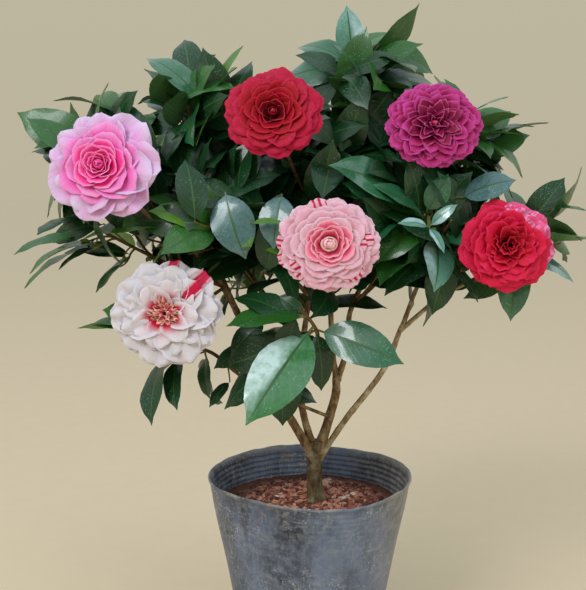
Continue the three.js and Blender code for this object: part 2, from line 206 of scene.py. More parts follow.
def through(points):  # a smooth line through the points, as a function of 0 to 1
    knots = [2 * points[0] - points[1], *points, 2 * points[-1] - points[-2]]

    def place(t):
        span = min(int(t * (len(points) - 1)), len(points) - 2)
        u = t * (len(points) - 1) - span
        before, first, last, after = knots[span:span + 4]
        return (first * (2 * u**3 - 3 * u**2 + 1) + (last - before) / 2 * (u**3 - 2 * u**2 + u)
                + last * (3 * u**2 - 2 * u**3) + (after - first) / 2 * (u**3 - u**2))
    return place


def arc(a, b, c):  # a bend from a to c, drawn towards b
    return lambda t: a * (1 - t)**2 + b * 2 * t * (1 - t) + c * t * t


def heading(line, t):
    return unit(line(min(1, t + 0.0001)) - line(max(0, t - 0.0001)))


def turned(v, axis, angle):
    return (v * math.cos(angle) + cross(axis, v) * math.sin(angle)
            + axis * float(np.dot(axis, v)) * (1 - math.cos(angle)))


# Mesh helpers.

def finishPiece(name, mesh, finishes, slot, sharp=55):
    for finish in finishes:
        mesh.materials.append(finish.material)
    mesh.polygons.foreach_set("use_smooth", [True] * len(mesh.polygons))
    mesh.set_sharp_from_angle(angle=math.radians(sharp))
    mesh.update()
    piece = bpy.data.objects.new(name, mesh)
    bpy.context.scene.collection.objects.link(piece)
    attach(piece, "root")
    return piece


def sweep(line, radiusAt, sides, steps, relief=None):  # a closed rod along a line
    points = [line(i / steps) for i in range(steps + 1)]
    side = unit(cross(heading(line, 0), np.array([0.31, 0.86, 0.4])))
    verts, travelled = [], 0
    for i, p in enumerate(points):
        travelled += np.linalg.norm(p - points[i - 1]) if i else 0
        way = heading(line, i / steps)
        side = unit(side - way * np.dot(side, way))
        over = cross(way, side)
        for j in range(sides):
            a = 2 * math.pi * j / sides
            r = radiusAt(i / steps) + (relief(a, travelled) if relief else 0)
            verts.append(p + (side * math.cos(a) + over * math.sin(a)) * r)
    faces = [(i * sides + j, i * sides + (j + 1) % sides, (i + 1) * sides + (j + 1) % sides,
              (i + 1) * sides + j) for i in range(steps) for j in range(sides)]
    faces.append(tuple(range(sides))[::-1])
    faces.append(tuple(steps * sides + j for j in range(sides)))
    return verts, faces


class Rods:  # rods and lumps gathered into one mesh
    def __init__(self):
        self.verts, self.faces, self.finish = [], [], []

    def add(self, shape, finish=0):
        verts, faces = shape
        base = len(self.verts)
        self.verts.extend(verts)
        self.faces.extend(tuple(base + i for i in face) for face in faces)
        self.finish.extend([finish] * len(faces))

    def piece(self, name, finishes, slot, sharp=55):
        mesh = bpy.data.meshes.new(name)
        mesh.from_pydata([tuple(v) for v in self.verts], [], self.faces)
        mesh.polygons.foreach_set("material_index", self.finish)
        return finishPiece(name, mesh, finishes, slot, sharp)


def pillow(rows, columns):  # faces of a thin closed shell over a grid, upper side first
    upper = np.arange(rows * columns).reshape(rows, columns)
    lower = upper.copy()
    lower[1:-1, 1:-1] = rows * columns + np.arange((rows - 2) * (columns - 2)).reshape(rows - 2, -1)

    def quads(grid):
        return np.stack([grid[:-1, :-1], grid[:-1, 1:], grid[1:, 1:], grid[1:, :-1]], -1).reshape(-1, 4)
    return np.concatenate([quads(upper), quads(lower)[:, [0, 3, 2, 1]]])


class Blades:  # leaves or petals, each a thin shell over the same grid, gathered into one mesh
    def __init__(self, lengthwise, crosswise):
        self.lengthwise, self.crosswise = np.array(lengthwise), np.array(crosswise)
        self.quads = pillow(len(lengthwise), len(crosswise))
        self.verts, self.place, self.finish = [], [], []

    def add(self, grid, thickness, chance, finishOf):
        alongWay, acrossWay = np.gradient(grid, axis=0), np.gradient(grid, axis=1)
        normal = np.cross(acrossWay, alongWay)
        normal /= np.linalg.norm(normal, axis=2, keepdims=True) + 1e-12
        below = (grid - normal * thickness)[1:-1, 1:-1].reshape(-1, 3)
        self.verts.append(np.concatenate([grid.reshape(-1, 3), below]))
        s, v = np.meshgrid(self.lengthwise, self.crosswise, indexing="ij")
        place = np.stack([s, v, np.full_like(s, chance)], -1)
        self.place.append(np.concatenate([place.reshape(-1, 3), place[1:-1, 1:-1].reshape(-1, 3)]))
        self.finish.append(finishOf)

    def piece(self, name, finishes, slot, sharp=70):
        each = len(self.verts[0])
        count = len(self.verts)
        verts = np.concatenate(self.verts)
        quads = (self.quads[None] + (np.arange(count) * each)[:, None, None]).reshape(-1, 4)
        place = np.concatenate(self.place)
        mesh = bpy.data.meshes.new(name)
        mesh.vertices.add(len(verts))
        mesh.vertices.foreach_set("co", verts.astype(np.float32).ravel())
        mesh.loops.add(len(quads) * 4)
        mesh.loops.foreach_set("vertex_index", quads.ravel().astype(np.int32))
        mesh.polygons.add(len(quads))
        mesh.polygons.foreach_set("loop_start", np.arange(len(quads), dtype=np.int32) * 4)
        mesh.update(calc_edges=True)
        mesh.polygons.foreach_set("material_index", np.concatenate(self.finish).astype(np.int32))
        held = mesh.attributes.new("place", "FLOAT_VECTOR", "POINT")
        held.data.foreach_set("vector", place.astype(np.float32).ravel())
        self.layOut(mesh, place[quads.ravel()], count)
        mesh.validate()
        return finishPiece(name, mesh, finishes, slot, sharp)

    def layOut(self, mesh, corners, count):  # the blades' two sides, each in a cell of its own
        wide = math.ceil(math.sqrt(count * 2))
        perSide = len(self.quads) // 2 * 4
        cell = np.repeat(np.arange(count * 2), perSide)
        inside = 0.05 + 0.9 * np.stack([corners[:, 1] / 2 + 0.5, corners[:, 0]], -1)
        mesh.uv_layers.new(name="OFBake").data.foreach_set(
            "uv", ((np.stack([cell % wide, cell // wide], -1) + inside) / wide).astype(np.float32).ravel())


# Finishes.

leafVeins = dict(pairs=9, slant=2.6)
# Water drops on the leaves: bump and gloss, and a pale blue-green tint that is a painted glint of the sky in
# them.
waterDropsAndGlints = dict(beads=420, bead=(0.14, 0.28), patches=60, patch=(0.46, 0.58), tint=(150, 200, 186))


def veinsOn(f, s, v, width):  # side veins that slant out from the midrib
    slant = s * leafVeins["pairs"] - abs(v) * leafVeins["slant"]
    away = abs(f.node("Math", {"operation": "FRACT"}, {0: slant}) - 0.5) * 2
    return f.ramp(away, (0.0, 1), (width, 0))


def beadsOn(f):  # fine drops of water, in patches
    bead, patch = waterDropsAndGlints["bead"], waterDropsAndGlints["patch"]
    drops = f.ramp(f.cells(waterDropsAndGlints["beads"]), (bead[0], 1), (bead[1], 0))
    return drops * f.ramp(f.grain(waterDropsAndGlints["patches"], 2), (patch[0], 0), (patch[1], 1))


def leafFace(name, body, deep, gloss, shine, wet, pale=None):  # waxed and veined
    f = Finish(name, specularIorLevel=shine, coatRoughness=0.08)
    s, v, chance = f.parts(f.along())
    vein, cloud, beads = veinsOn(f, s, v, 0.2), f.grain(38, 3), beadsOn(f)
    tint = f.mix(cloud * 0.9, body, deep)
    tint = f.mix(chance * 0.45, tint, deep)
    tint = f.mix(f.ramp(f.grain(280, 3, 0.6), (0.46, 0), (0.6, 1)) * (0.55 * wet), tint, deep)
    tint = f.mix(vein * 0.1, tint, colour(110, 150, 80))
    if pale:  # painted reflection: the half that faces the light is painted pale, in cloudy patches, as the sky shows in a wet leaf
        milky = f.ramp(v * 0.5 + 0.5 + (f.grain(34, 4, 0.6) - 0.5) * 0.5, (0.5, 0), (0.66, 1))
        milky = milky * f.ramp(s, (0.08, 0.2), (0.3, 1), (0.62, 1), (0.9, 0.15))
        tint = f.mix(milky * f.ramp(f.grain(150, 3), (0.35, 0.5), (0.6, 0.95)), tint, pale)
    # the pale tint on the drops is a painted glint
    f.set("baseColor", f.mix(beads * (0.24 + 0.24 * wet), tint, colour(*waterDropsAndGlints["tint"])))
    f.set("roughness", gloss + 0.14 * cloud - beads * 0.12)
    f.set("coatWeight", wet * f.ramp(f.grain(26, 2), (0.4, 0.15), (0.58, 1)))
    return f.bump(beads * 0.8 - vein * 0.12 + f.grain(210, 2) * 0.25, 0.4, 0.0012)


def leafBack(name, body):
    f = Finish(name, roughness=0.5, specularIorLevel=0.35)
    s, v = f.parts(f.along())[:2]
    vein = veinsOn(f, s, v, 0.3)
    f.set("baseColor", f.mix(vein * 0.3 + f.grain(60) * 0.3, body, colour(120, 160, 104)))
    return f.bump(vein, 0.3, 0.0006)


def barkFinish(name, body, dark, pale, patch=0.5):
    f = Finish(name, specularIorLevel=0.25)
    streak = f.grain(60, 4, 0.6, f.stretch(f.place(), (4.0, 4.0, 1.0)))
    patches = f.ramp(f.grain(75, 4, 0.62), (0.5, 0), (0.66, 1))
    specks = f.ramp(f.grain(900, 2), (0.55, 0), (0.68, 1))
    tint = f.mix(f.ramp(streak, (0.35, 0), (0.65, 1)), dark, body)
    tint = f.mix(patches * patch, tint, pale)
    f.set("baseColor", f.mix(specks * 0.35, tint, dark))
    f.set("roughness", 0.72 + streak * 0.2)
    return f.bump(streak * 1.4 + specks * 0.3 + patches * 0.3, 0.7, 0.0015)


def petalFinish(name, base, body, edgeTintAndHighlight, edge=0.16, fade=0.4, streaks=0.3, blush=(0.2, 0.62), marks=None):
    f = Finish(name, specularIorLevel=0.2, subsurfaceWeight=0.08, subsurfaceScale=0.004)
    s, v, chance = f.parts(f.along())
    lines = f.grain(1, 3, 0.6, f.node("CombineXYZ", {}, {0: v * 26, 1: s * 2.5, 2: chance * 90}))
    # the pale edge colour is partly the petal's own paler margin and partly a painted edge highlight
    rim = f.node("Math", {"operation": "MAXIMUM"}, {0: s, 1: abs(v)}) + (f.grain(90) - 0.5) * 0.12
    rim = f.ramp(rim, (1 - edge - fade * 0.5, 0), (1 - edge * 0.35, 1))
    # the foot colour fades into the body; where the foot colour is dark it is painted shade deep in the
    # bloom, elsewhere it is the petal's own colour at its foot
    tint = f.mix(f.ramp(s, (blush[0], 0), (blush[1], 1)), base, body)
    tint = f.mix(rim * (0.72 + 0.28 * chance), tint, edgeTintAndHighlight)
    tint = f.mix(f.ramp(lines, (0.45, 0), (0.7, 1)) * streaks, tint, base)
    if marks:  # coloured marks along the petal, from part way out: a band, bars or fine strokes
        place = f.node("CombineXYZ", {}, {0: v * marks["across"], 1: s * marks["lengthwise"], 2: chance * 50})
        strokes, soft = f.grain(1, 2, 0.5, place), marks.get("soft", 0.05)
        if marks["kind"] == "band":
            strokes = 1 - abs(v + (chance - 0.5) * 0.5) - (strokes - 0.5) * 0.9
        if marks["kind"] == "bars":
            bars = f.node("Math", {"operation": "FRACT"}, {0: v * 2.2 + chance * 7})
            strokes = abs(bars - 0.5) * 2 + (strokes - 0.5) * 1.4 - v * v * 0.5
        strokes = f.ramp(strokes, (marks["level"], 0), (marks["level"] + soft, 1))
        strokes = strokes * f.ramp(s, (marks["start"], 0), (marks["start"] + 0.15, 1))
        tint = f.mix(strokes, tint, marks["tint"])
    f.set("baseColor", tint)
    f.set("roughness", 0.42 + 0.2 * lines)
    return f.bump(lines, 0.35, 0.0012)


def leafSkins(name, body, deep, back, gloss, shine, wet, pale=None):  # upper side and under side
    milky = colour(*pale) if pale else None
    return (leafFace(name, colour(*body), colour(*deep), gloss, shine, wet, milky),
            leafBack(name + "Back", colour(*back)))


# The last three finishes paint the sky's reflection on wet leaves: the first two have a pale grey-blue body
# that is painted reflection, and the first and the last also get a paler painted reflection (their pale
# colour) on the half that faces the light.
leafFinishes = {
    "dark": leafSkins("leafDark", (24, 74, 32), (8, 42, 22), (58, 98, 58), 0.28, 0.4, 0.3),
    "mid": leafSkins("leafMid", (58, 116, 32), (18, 72, 26), (78, 124, 66), 0.28, 0.45, 0.4),
    "bright": leafSkins("leafBright", (94, 140, 36), (58, 106, 22), (106, 150, 68), 0.32, 0.35, 0.2),
    "blue": leafSkins("leafBlue", (50, 118, 74), (18, 78, 50), (72, 118, 78), 0.24, 0.6, 0.9),
    "misty": leafSkins("leafMisty", (108, 154, 140), (60, 116, 98), (92, 132, 100), 0.22, 0.6, 0.9,
                       pale=(164, 196, 198)),
    "paintedGreyReflection": leafSkins("leafRainy", (96, 138, 142), (32, 72, 70), (84, 124, 96), 0.26, 0.5, 0.75),
    "milky": leafSkins("leafMilky", (70, 132, 78), (30, 96, 46), (84, 124, 70), 0.2, 0.6, 1.0,
                       pale=(190, 216, 214)),
}
ribFinish = Finish("leafRib", roughness=0.42, specularIorLevel=0.5)
ribFinish.set("baseColor", ribFinish.mix(ribFinish.grain(90), colour(56, 96, 42), colour(36, 70, 30)))
ribFinish.bump(ribFinish.grain(500), 0.2, 0.0005)


# The limbs, as the frame has them: a path, and the radius at its foot and its tip.

limbs = {
    "trunk": ([(7.4, 0, 158), (5, 0, 190), (6, 0, 225)], 7.6, 7.8),
    "bough_left": ([(2, -1, 212), (-25, -10, 260), (-48, -20, 301), (-69, -35, 357), (-86, -50, 395)],
                   4.6, 2.8),
    "bough_left_up": ([(-86, -50, 395), (-104, -59, 419), (-127, -70, 445)], 2.5, 2.1),
    "bough_left_side": ([(-85, -49, 392), (-112, -50, 402), (-138, -52, 414)], 2.2, 1.8),
    "bough_left_rise": ([(-69, -35, 357), (-94, -14, 415), (-104, -2, 470)], 2.4, 1.8),
    "bough_middle": ([(4, 1, 214), (-9, 0, 268), (-8, 5, 319), (0, 6, 382), (7, 0, 474)], 4, 2.3),
    "bough_centre": ([(9, 1, 212), (26, 8, 266), (28, 10, 290)], 5, 4),
    "bough_centre_high": ([(28, 10, 288), (24, 8, 319), (22, 8, 372), (28, 12, 450), (37, 10, 539)],
                          3.1, 2.1),
    "bough_centre_right": ([(29, 10, 286), (40, 14, 323), (43, 20, 359), (68, 26, 410), (98, 20, 470)],
                           3.2, 2.1),
    "bough_right": ([(8, 1, 202), (37, 0, 247), (75, -5, 300), (93, -8, 346)], 3.3, 2.6),
    "bough_right_high": ([(93, -8, 344), (108, -12, 388), (122, -22, 424)], 2.3, 1.9),
    "bough_right_low": ([(92, -8, 342), (128, -20, 376), (160, -30, 396)], 2.2, 1.8),
    "bough_low_left": ([(19, 3, 250), (-18, -16, 270), (-64, -38, 298), (-90, -48, 322)], 1.7, 1.5),
    "bough_front": ([(-8, 4, 315), (2, -38, 330), (6, -72, 346)], 2.3, 1.9),
    "bough_front_left": ([(-1, 5, 376), (-24, -28, 404), (-44, -48, 428)], 2.2, 1.8),
    "bough_back_left": ([(-8, 5, 330), (-42, 42, 366), (-78, 76, 410)], 2.6, 1.9),
    "bough_back": ([(23, 9, 378), (14, 56, 424), (8, 88, 476)], 2.4, 1.8),
    "bough_back_right": ([(45, 20, 364), (78, 62, 388), (112, 92, 420)], 2.5, 1.9),
}
limbLines = {name: through([spot(*p) for p in limb[0]]) for name, limb in limbs.items()}
bark = dict(sides=18, step=2.5, trunkFlare=3.4, forkSwell=0.45, forkReach=9, ridge=0.055, scar=0.07,
            scarStep=27, scarAt=13, scarWidth=2.2)


def limbShape(name):
    foot, tip = limbs[name][1:]
    line = limbLines[name]
    length = sum(np.linalg.norm(line(i / 20) - line((i - 1) / 20)) for i in range(1, 21)) / mm
    isTrunk = name == "trunk"
    seed = list(limbs).index(name) * 7.3
    flare = bark["trunkFlare"] if isTrunk else 0

    def radiusAt(t):
        fork = 0 if isTrunk else bark["forkSwell"] * math.exp(-t * length / bark["forkReach"])
        return (foot + (tip - foot) * t + flare * (1 - t)**5) * (1 + fork * foot / 5) * mm

    def relief(angle, travelled):
        x, y = math.cos(angle), math.sin(angle)
        ridges = noise.noise(Vector((x * 2.6, y * 2.6, travelled * 38 + seed)))
        knuckle = noise.noise(Vector((x * 0.8, y * 0.8, travelled * 70 + seed * 3)))
        scar = math.exp(-((travelled / mm % bark["scarStep"] - bark["scarAt"]) / bark["scarWidth"])**2)
        return foot * mm * (bark["ridge"] * (ridges * 1.6 + knuckle * 1.5) + bark["scar"] * scar)
    return sweep(line, radiusAt, bark["sides"], max(6, round(length / bark["step"])), relief)


oldBark = barkFinish("oldBark", colour(122, 102, 70), colour(62, 50, 34), colour(166, 156, 126), 0.6)
boughBark = barkFinish("boughBark", colour(152, 122, 84), colour(82, 58, 38), colour(190, 172, 138), 0.7)
paleBark = barkFinish("paleBark", colour(186, 166, 128), colour(120, 96, 66), colour(214, 200, 168), 0.7)

trunk = Rods()
trunk.add(limbShape("trunk"))
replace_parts(trunk.piece("trunk_bark", [oldBark], "bark", 80), "trunk")
boughs = Rods()
for name in list(limbs)[1:]:
    boughs.add(limbShape(name), int(name.startswith("bough_right")))
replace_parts(boughs.piece("boughs_bark", [boughBark, paleBark], "bark", 80), *list(limbs)[1:])
print("limbs:", len(trunk.faces) + len(boughs.faces), "faces")


# The foliage: each mass grows on one stem from a bough's tip.
# shoots: where each one's leading leaf reaches, how many leaves it has, the turn of the second, its finish.
# leads: turn in degrees and width of a shoot's leading leaf; flat: the shoots whose leading leaf lies flat.
# leadFrom: where on its shoot the leading leaf starts; others: finish and size of the leaves that follow it.
# finer: lesser shoots, which the frame leaves out; hung: root, tip, width and finish of single leaves.
# sprays: how many on each shoot, or on the shoots in sprayed; sprayFinishes: the finishes they choose from.
# wide: how wide the leaves are; under: the height that no tip passes; inner: whether the inside is filled.

masses = {
    "foliage_crown_top": dict(
        on="bough_centre_high", stem=(47, 6, 610), seed=11, sprays=2, inner=False,
        leads={0: (10, 1), 4: (58, 0.85)},
        shoots=[(108, -30, 626, 3, 60, "mid"), (-16, -20, 616, 4, 120, "dark"),
                (94, -60, 579, 3, 200, "dark"), (35, 10, 668, 3, 0, "misty"), (108, 0, 670, 3, 160, "mid"),
                (64, 85, 644, 4, 20, "mid")],
        finer=[(58, -58, 566, 3, 30, "dark"), (14, -52, 590, 3, 150, "mid")]),
    "foliage_upper_left": dict(
        on="bough_left_rise", stem=(-112, -2, 572), seed=23, flat=(0, 3),
        shoots=[(-166, -40, 572, 3, 80, "dark"), (-68, -58, 574, 3, 10, "dark"),
                (-65, -8, 625, 4, 120, "bright"), (-163, -8, 604, 3, 200, "mid"),
                (-121, 70, 609, 4, 90, "dark")]),
    "foliage_left_high": dict(
        on="bough_left_up", stem=(-189, -46, 538), seed=31, flat=(0,), under=586,
        shoots=[(-266, -36, 530, 3, 150, "dark"), (-279, -60, 550, 3, 200, "mid"),
                (-132, -70, 540, 3, 300, "dark"), (-220, 14, 576, 3, 10, "mid")]),
    "foliage_left_low": dict(
        on="bough_left_side", stem=(-205, -52, 448), seed=43, flat=(0, 1, 2, 3), wide=0.8,
        shoots=[(-268, -76, 403, 3, 180, "mid"), (-207, -50, 385, 3, 30, "dark"),
                (-296, -56, 424, 3, 90, "mid"), (-270, -40, 479, 3, 20, "bright")],
        hung=[((-222, -58, 440), (-283, -58, 424), 0.5, "mid"),
              ((-204, -62, 430), (-238, -68, 408), 0.5, "dark"),
              ((-180, -62, 414), (-203, -68, 386), 0.5, "dark")]),
    "foliage_low_left": dict(
        on="bough_low_left", stem=(-134, -52, 335), seed=52, sprays=3, inner=False, leads={0: (58, 0.7)},
        wide=0.85, sprayFinishes=("dark", "mid"),
        shoots=[(-226, -62, 353, 3, 200, "mid"), (-158, -66, 282, 2, 20, "dark"),
                (-95, -70, 285, 3, 60, "dark")],
        hung=[((-78, -60, 300), (-98, -66, 276), 0.9, "dark")]),
    "foliage_front_low": dict(
        on="bough_front", stem=(-11, -104, 378), seed=64, sprays=2, inner=False, leadFrom=0.45,
        others=("dark", 0.8), sprayed=(2,), sprayFinishes=("dark",),
        shoots=[(-56, -152, 279, 2, 235, "milky"), (85, -112, 331, 2, 220, "blue"),
                (-77, -118, 361, 3, 330, "mid"), (10, -76, 294, 3, 60, "dark")],
        hung=[((-44, -66, 360), (-76, -72, 326), 1.05, "dark"),
              ((-50, -62, 338), (-92, -68, 312), 0.95, "dark"),
              ((-44, -64, 300), (6, -72, 282), 0.85, "dark")],
        finer=[(-82, -70, 312, 3, 40, "dark"), (-84, -72, 276, 2, 160, "dark"),
               (-30, -90, 388, 1, 220, "dark"), (-70, -58, 338, 2, 300, "dark")]),
    "foliage_front_left": dict(
        on="bough_front_left", stem=(-92, -80, 451), seed=77, sprays=2, flat=(1,), sprayFinishes=("dark",),
        shoots=[(-56, -112, 431, 3, 200, "bright"), (-158, -76, 478, 3, 120, "mid"),
                (-68, -70, 484, 3, 20, "misty")],
        finer=[(-214, -84, 438, 2, 90, "bright"), (-150, -98, 466, 1, 0, "bright")],
        hung=[((-79, -86, 482), (-64, -98, 420), 1.3, "paintedGreyReflection"),
              ((-27, -84, 480), (-36, -96, 430), 1.35, "paintedGreyReflection"),
              ((-54, -100, 454), (-26, -106, 456), 0.5, "bright")]),
    "foliage_upper_middle": dict(
        on="bough_middle", stem=(2, -10, 513), seed=85,
        shoots=[(-41, -60, 474, 3, 200, "misty"), (32, -58, 528, 3, 330, "dark"),
                (-74, -66, 495, 3, 90, "dark"), (-10, 50, 557, 3, 20, "dark")]),
    "foliage_right_middle": dict(
        on="bough_right_high", stem=(106, -62, 458), seed=91,
        leads={0: (0, 1.15), 2: (12, 1.25), 3: (0, 0.85)},
        shoots=[(115, -86, 388, 3, 270, "misty"), (109, -40, 348, 3, 300, "dark"),
                (12, -96, 507, 3, 120, "blue"), (114, -112, 430, 3, 20, "misty")],
        hung=[((141, -66, 477), (190, -74, 491), 1.3, "paintedGreyReflection"),
              ((108, -66, 464), (127, -72, 499), 1.2, "blue"),
              ((105, -104, 450), (114, -122, 428), 0.7, "misty"),
              ((104, -102, 451), (75, -112, 456), 0.7, "misty"),
              ((106, -102, 452), (130, -108, 470), 0.8, "misty")]),
    "foliage_right_high": dict(
        on="bough_centre_right", stem=(140, 0, 531), seed=102, flat=(1, 2, 4),
        shoots=[(190, -50, 480, 3, 60, "misty"), (207, -30, 539, 3, 350, "mid"),
                (175, -24, 572, 3, 90, "mid"), (177, 90, 560, 4, 30, "dark"),
                (242, 40, 484, 3, 200, "mid")]),
    "foliage_right_side": dict(
        on="bough_right_low", stem=(211, -36, 449), seed=121, leads={1: (60, 0.75), 2: (0, 1.2)},
        shoots=[(137, -44, 387, 2, 130, "mid"), (267, -30, 510, 3, 30, "mid"),
                (257, -50, 395, 3, 330, "misty"), (262, 44, 442, 3, 200, "mid")]),
    "foliage_back_left": dict(
        on="bough_back_left", stem=(-133, 104, 484), seed=127,
        shoots=[(-210, 96, 484, 3, 120, "dark"), (-194, 124, 380, 3, 200, "mid"),
                (-110, 140, 379, 3, 300, "dark"), (-177, 110, 550, 3, 60, "bright")]),
    "foliage_back": dict(
        on="bough_back", stem=(-9, 116, 528), seed=136,
        shoots=[(-55, 140, 586, 3, 90, "dark"), (48, 130, 563, 3, 200, "mid"),
                (3, 176, 484, 4, 300, "dark"), (-44, 150, 425, 3, 30, "mid")]),
    "foliage_back_right": dict(
        on="bough_back_right", stem=(150, 114, 450), seed=149,
        shoots=[(214, 104, 506, 3, 30, "mid"), (223, 130, 403, 3, 340, "bright"),
                (109, 140, 367, 3, 270, "dark"), (128, 130, 529, 3, 90, "dark")]),
}
leaf = dict(
    length=72, lead=84, widthShare=0.235, thickness=0.9, fold=13, curl=46, rise=0.2, camber=0.1, ripple=0.018,
    lightUp=0.65, lightOut=0.75, facing=50, faceSpread=70, flatShare=0.3, flatOut=0.25, eyeLevel=0.45,
    flatRise=3.2, leastLight=0.12, openRound=34, tries=9, golden=137.5, nearFrame=0.35,
    frameSteps=(0, 0.3, 0.68, 1),
    rows=(0, 0.05, 0.12, 0.21, 0.31, 0.42, 0.53, 0.64, 0.74, 0.83, 0.91, 0.96, 1),
    columns=(-1, -0.55, -0.055, 0.055, 0.55, 1),
)
shoot = dict(leadFrom=0.84, lowest=0.3, behind=0.28, apart=0.02, leadShare=0.78, sweep=0.35, spacing=0.2,
             lean=38, leanStep=10, leanSpread=14, turnSpread=16, retryLean=6, retryTurn=17, nearFrame=6,
             budAt=0.97, bud=9)
spray = dict(first=0.16, spacing=0.2, spacingSpread=0.08, length=34, lengthSpread=18, turn=70, turnSpread=30,
             lean=42, leanSpread=20, toLight=0.35, leaves=3, leafLength=66, apart=13, nearFrame=34, reach=24,
             finishes=("mid", "blue", "dark", "mid"), ownFinish=0.4)
crown = dict(middle=(0, 10, 470), radii=(205, 125, 132), inner=16, onBough=0.5, onStem=0.8, lean=40,
             leanSpread=35, turnSpread=40, toLight=0.25, twig=52, leaves=5, leafLength=66,
             apart=11, finish="dark")
twig = dict(radii=(1.4, 1.0), stemRadii=(1.9, 1.5), stalkRadii=(1.7, 2.2), fine=(0.95, 0.7), sides=6, tries=4,
            offBlooms=6, droop=12)


def taper(ends):
    return lambda t: (ends[0] + (ends[1] - ends[0]) * t) * mm


def lightAt(root):  # where a leaf's upper face looks: up, and outward from a line behind the middle
    outward = unit(np.array([root[0] / 2, root[1] - leaf["facing"] * mm, 0]))
    return up * leaf["lightUp"] + outward * leaf["lightOut"]


def wayOut(axis, lean, turn):  # leaning from a shoot's axis, at a turn round it
    right = unit(cross(axis, np.array([1.0, 0, 0]) if abs(axis[2]) > 0.8 else up))
    over = unit(cross(right, axis))
    lean, turn = math.radians(lean), math.radians(turn)
    return unit(axis * math.cos(lean) - right * math.sin(lean) * math.cos(turn)
                + over * math.sin(lean) * math.sin(turn))


def lineOf(stem, entry, index):  # a shoot's line from its stem, and its leading leaf
    reach = spot(*entry[:3])
    shares = [shoot["lowest"], 0.44, 0.58, 0.72, 0.86, 1]
    nearest = min(shares, key=lambda share: np.linalg.norm(stem(share) - reach))
    start = max(shoot["lowest"], nearest - shoot["behind"]) + index * shoot["apart"]
    foot = stem(start)
    lead = min(leaf["lead"] * mm, np.linalg.norm(reach - foot) * shoot["leadShare"])
    way = unit(reach - foot)
    end = reach - way * lead
    bend = foot + heading(stem, start) * np.linalg.norm(end - foot) * shoot["sweep"]
    return dict(line=arc(foot, bend, end), lead=lead, way=way, leaves=entry[3], turn=entry[4],
                finish=entry[5], end=end)


def leafAt(shootLine, i, attempt, draw):
    ofLean, ofTurn, ofLength, ofCurl = [next(draw) for _ in range(4)]
    share = 0.97 - (i - 1) * shoot["spacing"] if i else 0.99
    root = shootLine["line"](share)
    light = lightAt(root)
    curl = leaf["curl"] * (0.7 + 0.6 * ofCurl)
    if i == 0:
        side = unit(cross(shootLine["way"], light))
        way = turned(shootLine["way"], side, math.radians(curl * (0.5 - leaf["rise"])))
        return dict(root=root, way=way, light=light, length=shootLine["lead"], curl=curl)
    lean = (shoot["lean"] + i * shoot["leanStep"] + (ofLean - 0.5) * shoot["leanSpread"]
            + attempt * shoot["retryLean"])
    turn = (shootLine["turn"] + i * leaf["golden"] + (ofTurn - 0.5) * shoot["turnSpread"]
            + attempt * (shoot["retryTurn"] if i % 2 else -shoot["retryTurn"]))
    way = wayOut(heading(shootLine["line"], share), lean, turn)
    length = leaf["length"] * (0.86 + 0.3 * ofLength) * mm
    return dict(root=root, way=way, light=light, length=length, curl=curl)


def spineOf(blade, steps, sway=0.0):  # points along the midrib, and which way the face looks at each
    side = unit(cross(blade["way"], blade["light"]))
    face = unit(cross(side, blade["way"]))
    points = [blade["root"]]
    for before, after in zip(steps, steps[1:]):
        bend = math.radians(blade["curl"] * (leaf["rise"] - (before + after) / 2))
        step = blade["way"] * math.cos(bend) + face * math.sin(bend) + side * sway * (before + after)
        points.append(points[-1] + step * blade["length"] * (after - before))
    bends = [math.radians(blade["curl"] * (leaf["rise"] - s)) for s in steps]
    looks = [face * math.cos(b) - blade["way"] * math.sin(b) for b in bends]
    return points, looks, side


def outline(s):  # half width along a leaf, from its stalk to its drawn-out tip
    blade = np.clip((s - 0.05) / 0.95, 0, 1)
    body = np.sin(np.pi * blade**0.84)**0.78
    return np.maximum(body * (1 - 0.5 * ease(0.8, 0.97, s)), 0.035 + 0 * s) * (1 - 0.6 * (s > 0.99))


def leafGrid(blade, draw):
    steps, v = np.array(leaf["rows"]), np.array(leaf["columns"])
    sway, phase, fold = (next(draw) - 0.5) * 0.16, next(draw) * 6.28, leaf["fold"] * (0.5 + next(draw))
    roll = (next(draw) - 0.5) * 0.7
    points, looks, side = spineOf(blade, leaf["rows"], sway)
    half = blade["length"] * leaf["widthShare"] * blade["wide"] * outline(steps)
    lift = math.tan(math.radians(fold))
    rise = (lift * np.abs(v)[None] - (leaf["camber"] + 0.1) * (v**2)[None]) * half[:, None]
    wave = np.sin(steps * 11 + phase)[:, None] * np.sin(np.pi * steps)[:, None]
    rise = rise + wave * (v**2 * np.sign(v))[None] * blade["length"] * leaf["ripple"]
    tilt = (roll * (steps - 0.2))[:, None]
    looks = np.array(looks)
    across = side[None] * np.cos(tilt) + looks * np.sin(tilt)
    above = looks * np.cos(tilt) - side[None] * np.sin(tilt)
    return (np.array(points)[:, None] + across[:, None] * (half[:, None] * v[None])[..., None]
            + above[:, None] * rise[..., None])


class Reach:  # how near a point is to what the frame holds for a mass
    def __init__(self, name):
        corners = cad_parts[name].data.vertices
        self.tree = kdtree.KDTree(len(corners))
        for i, corner in enumerate(corners):
            self.tree.insert(corner.co, i)
        self.tree.balance()

    def gap(self, point):
        return self.tree.find(Vector(point))[2]


# The blooms' places: middle, facing, radius, and the foot and bend of the flowering twig.

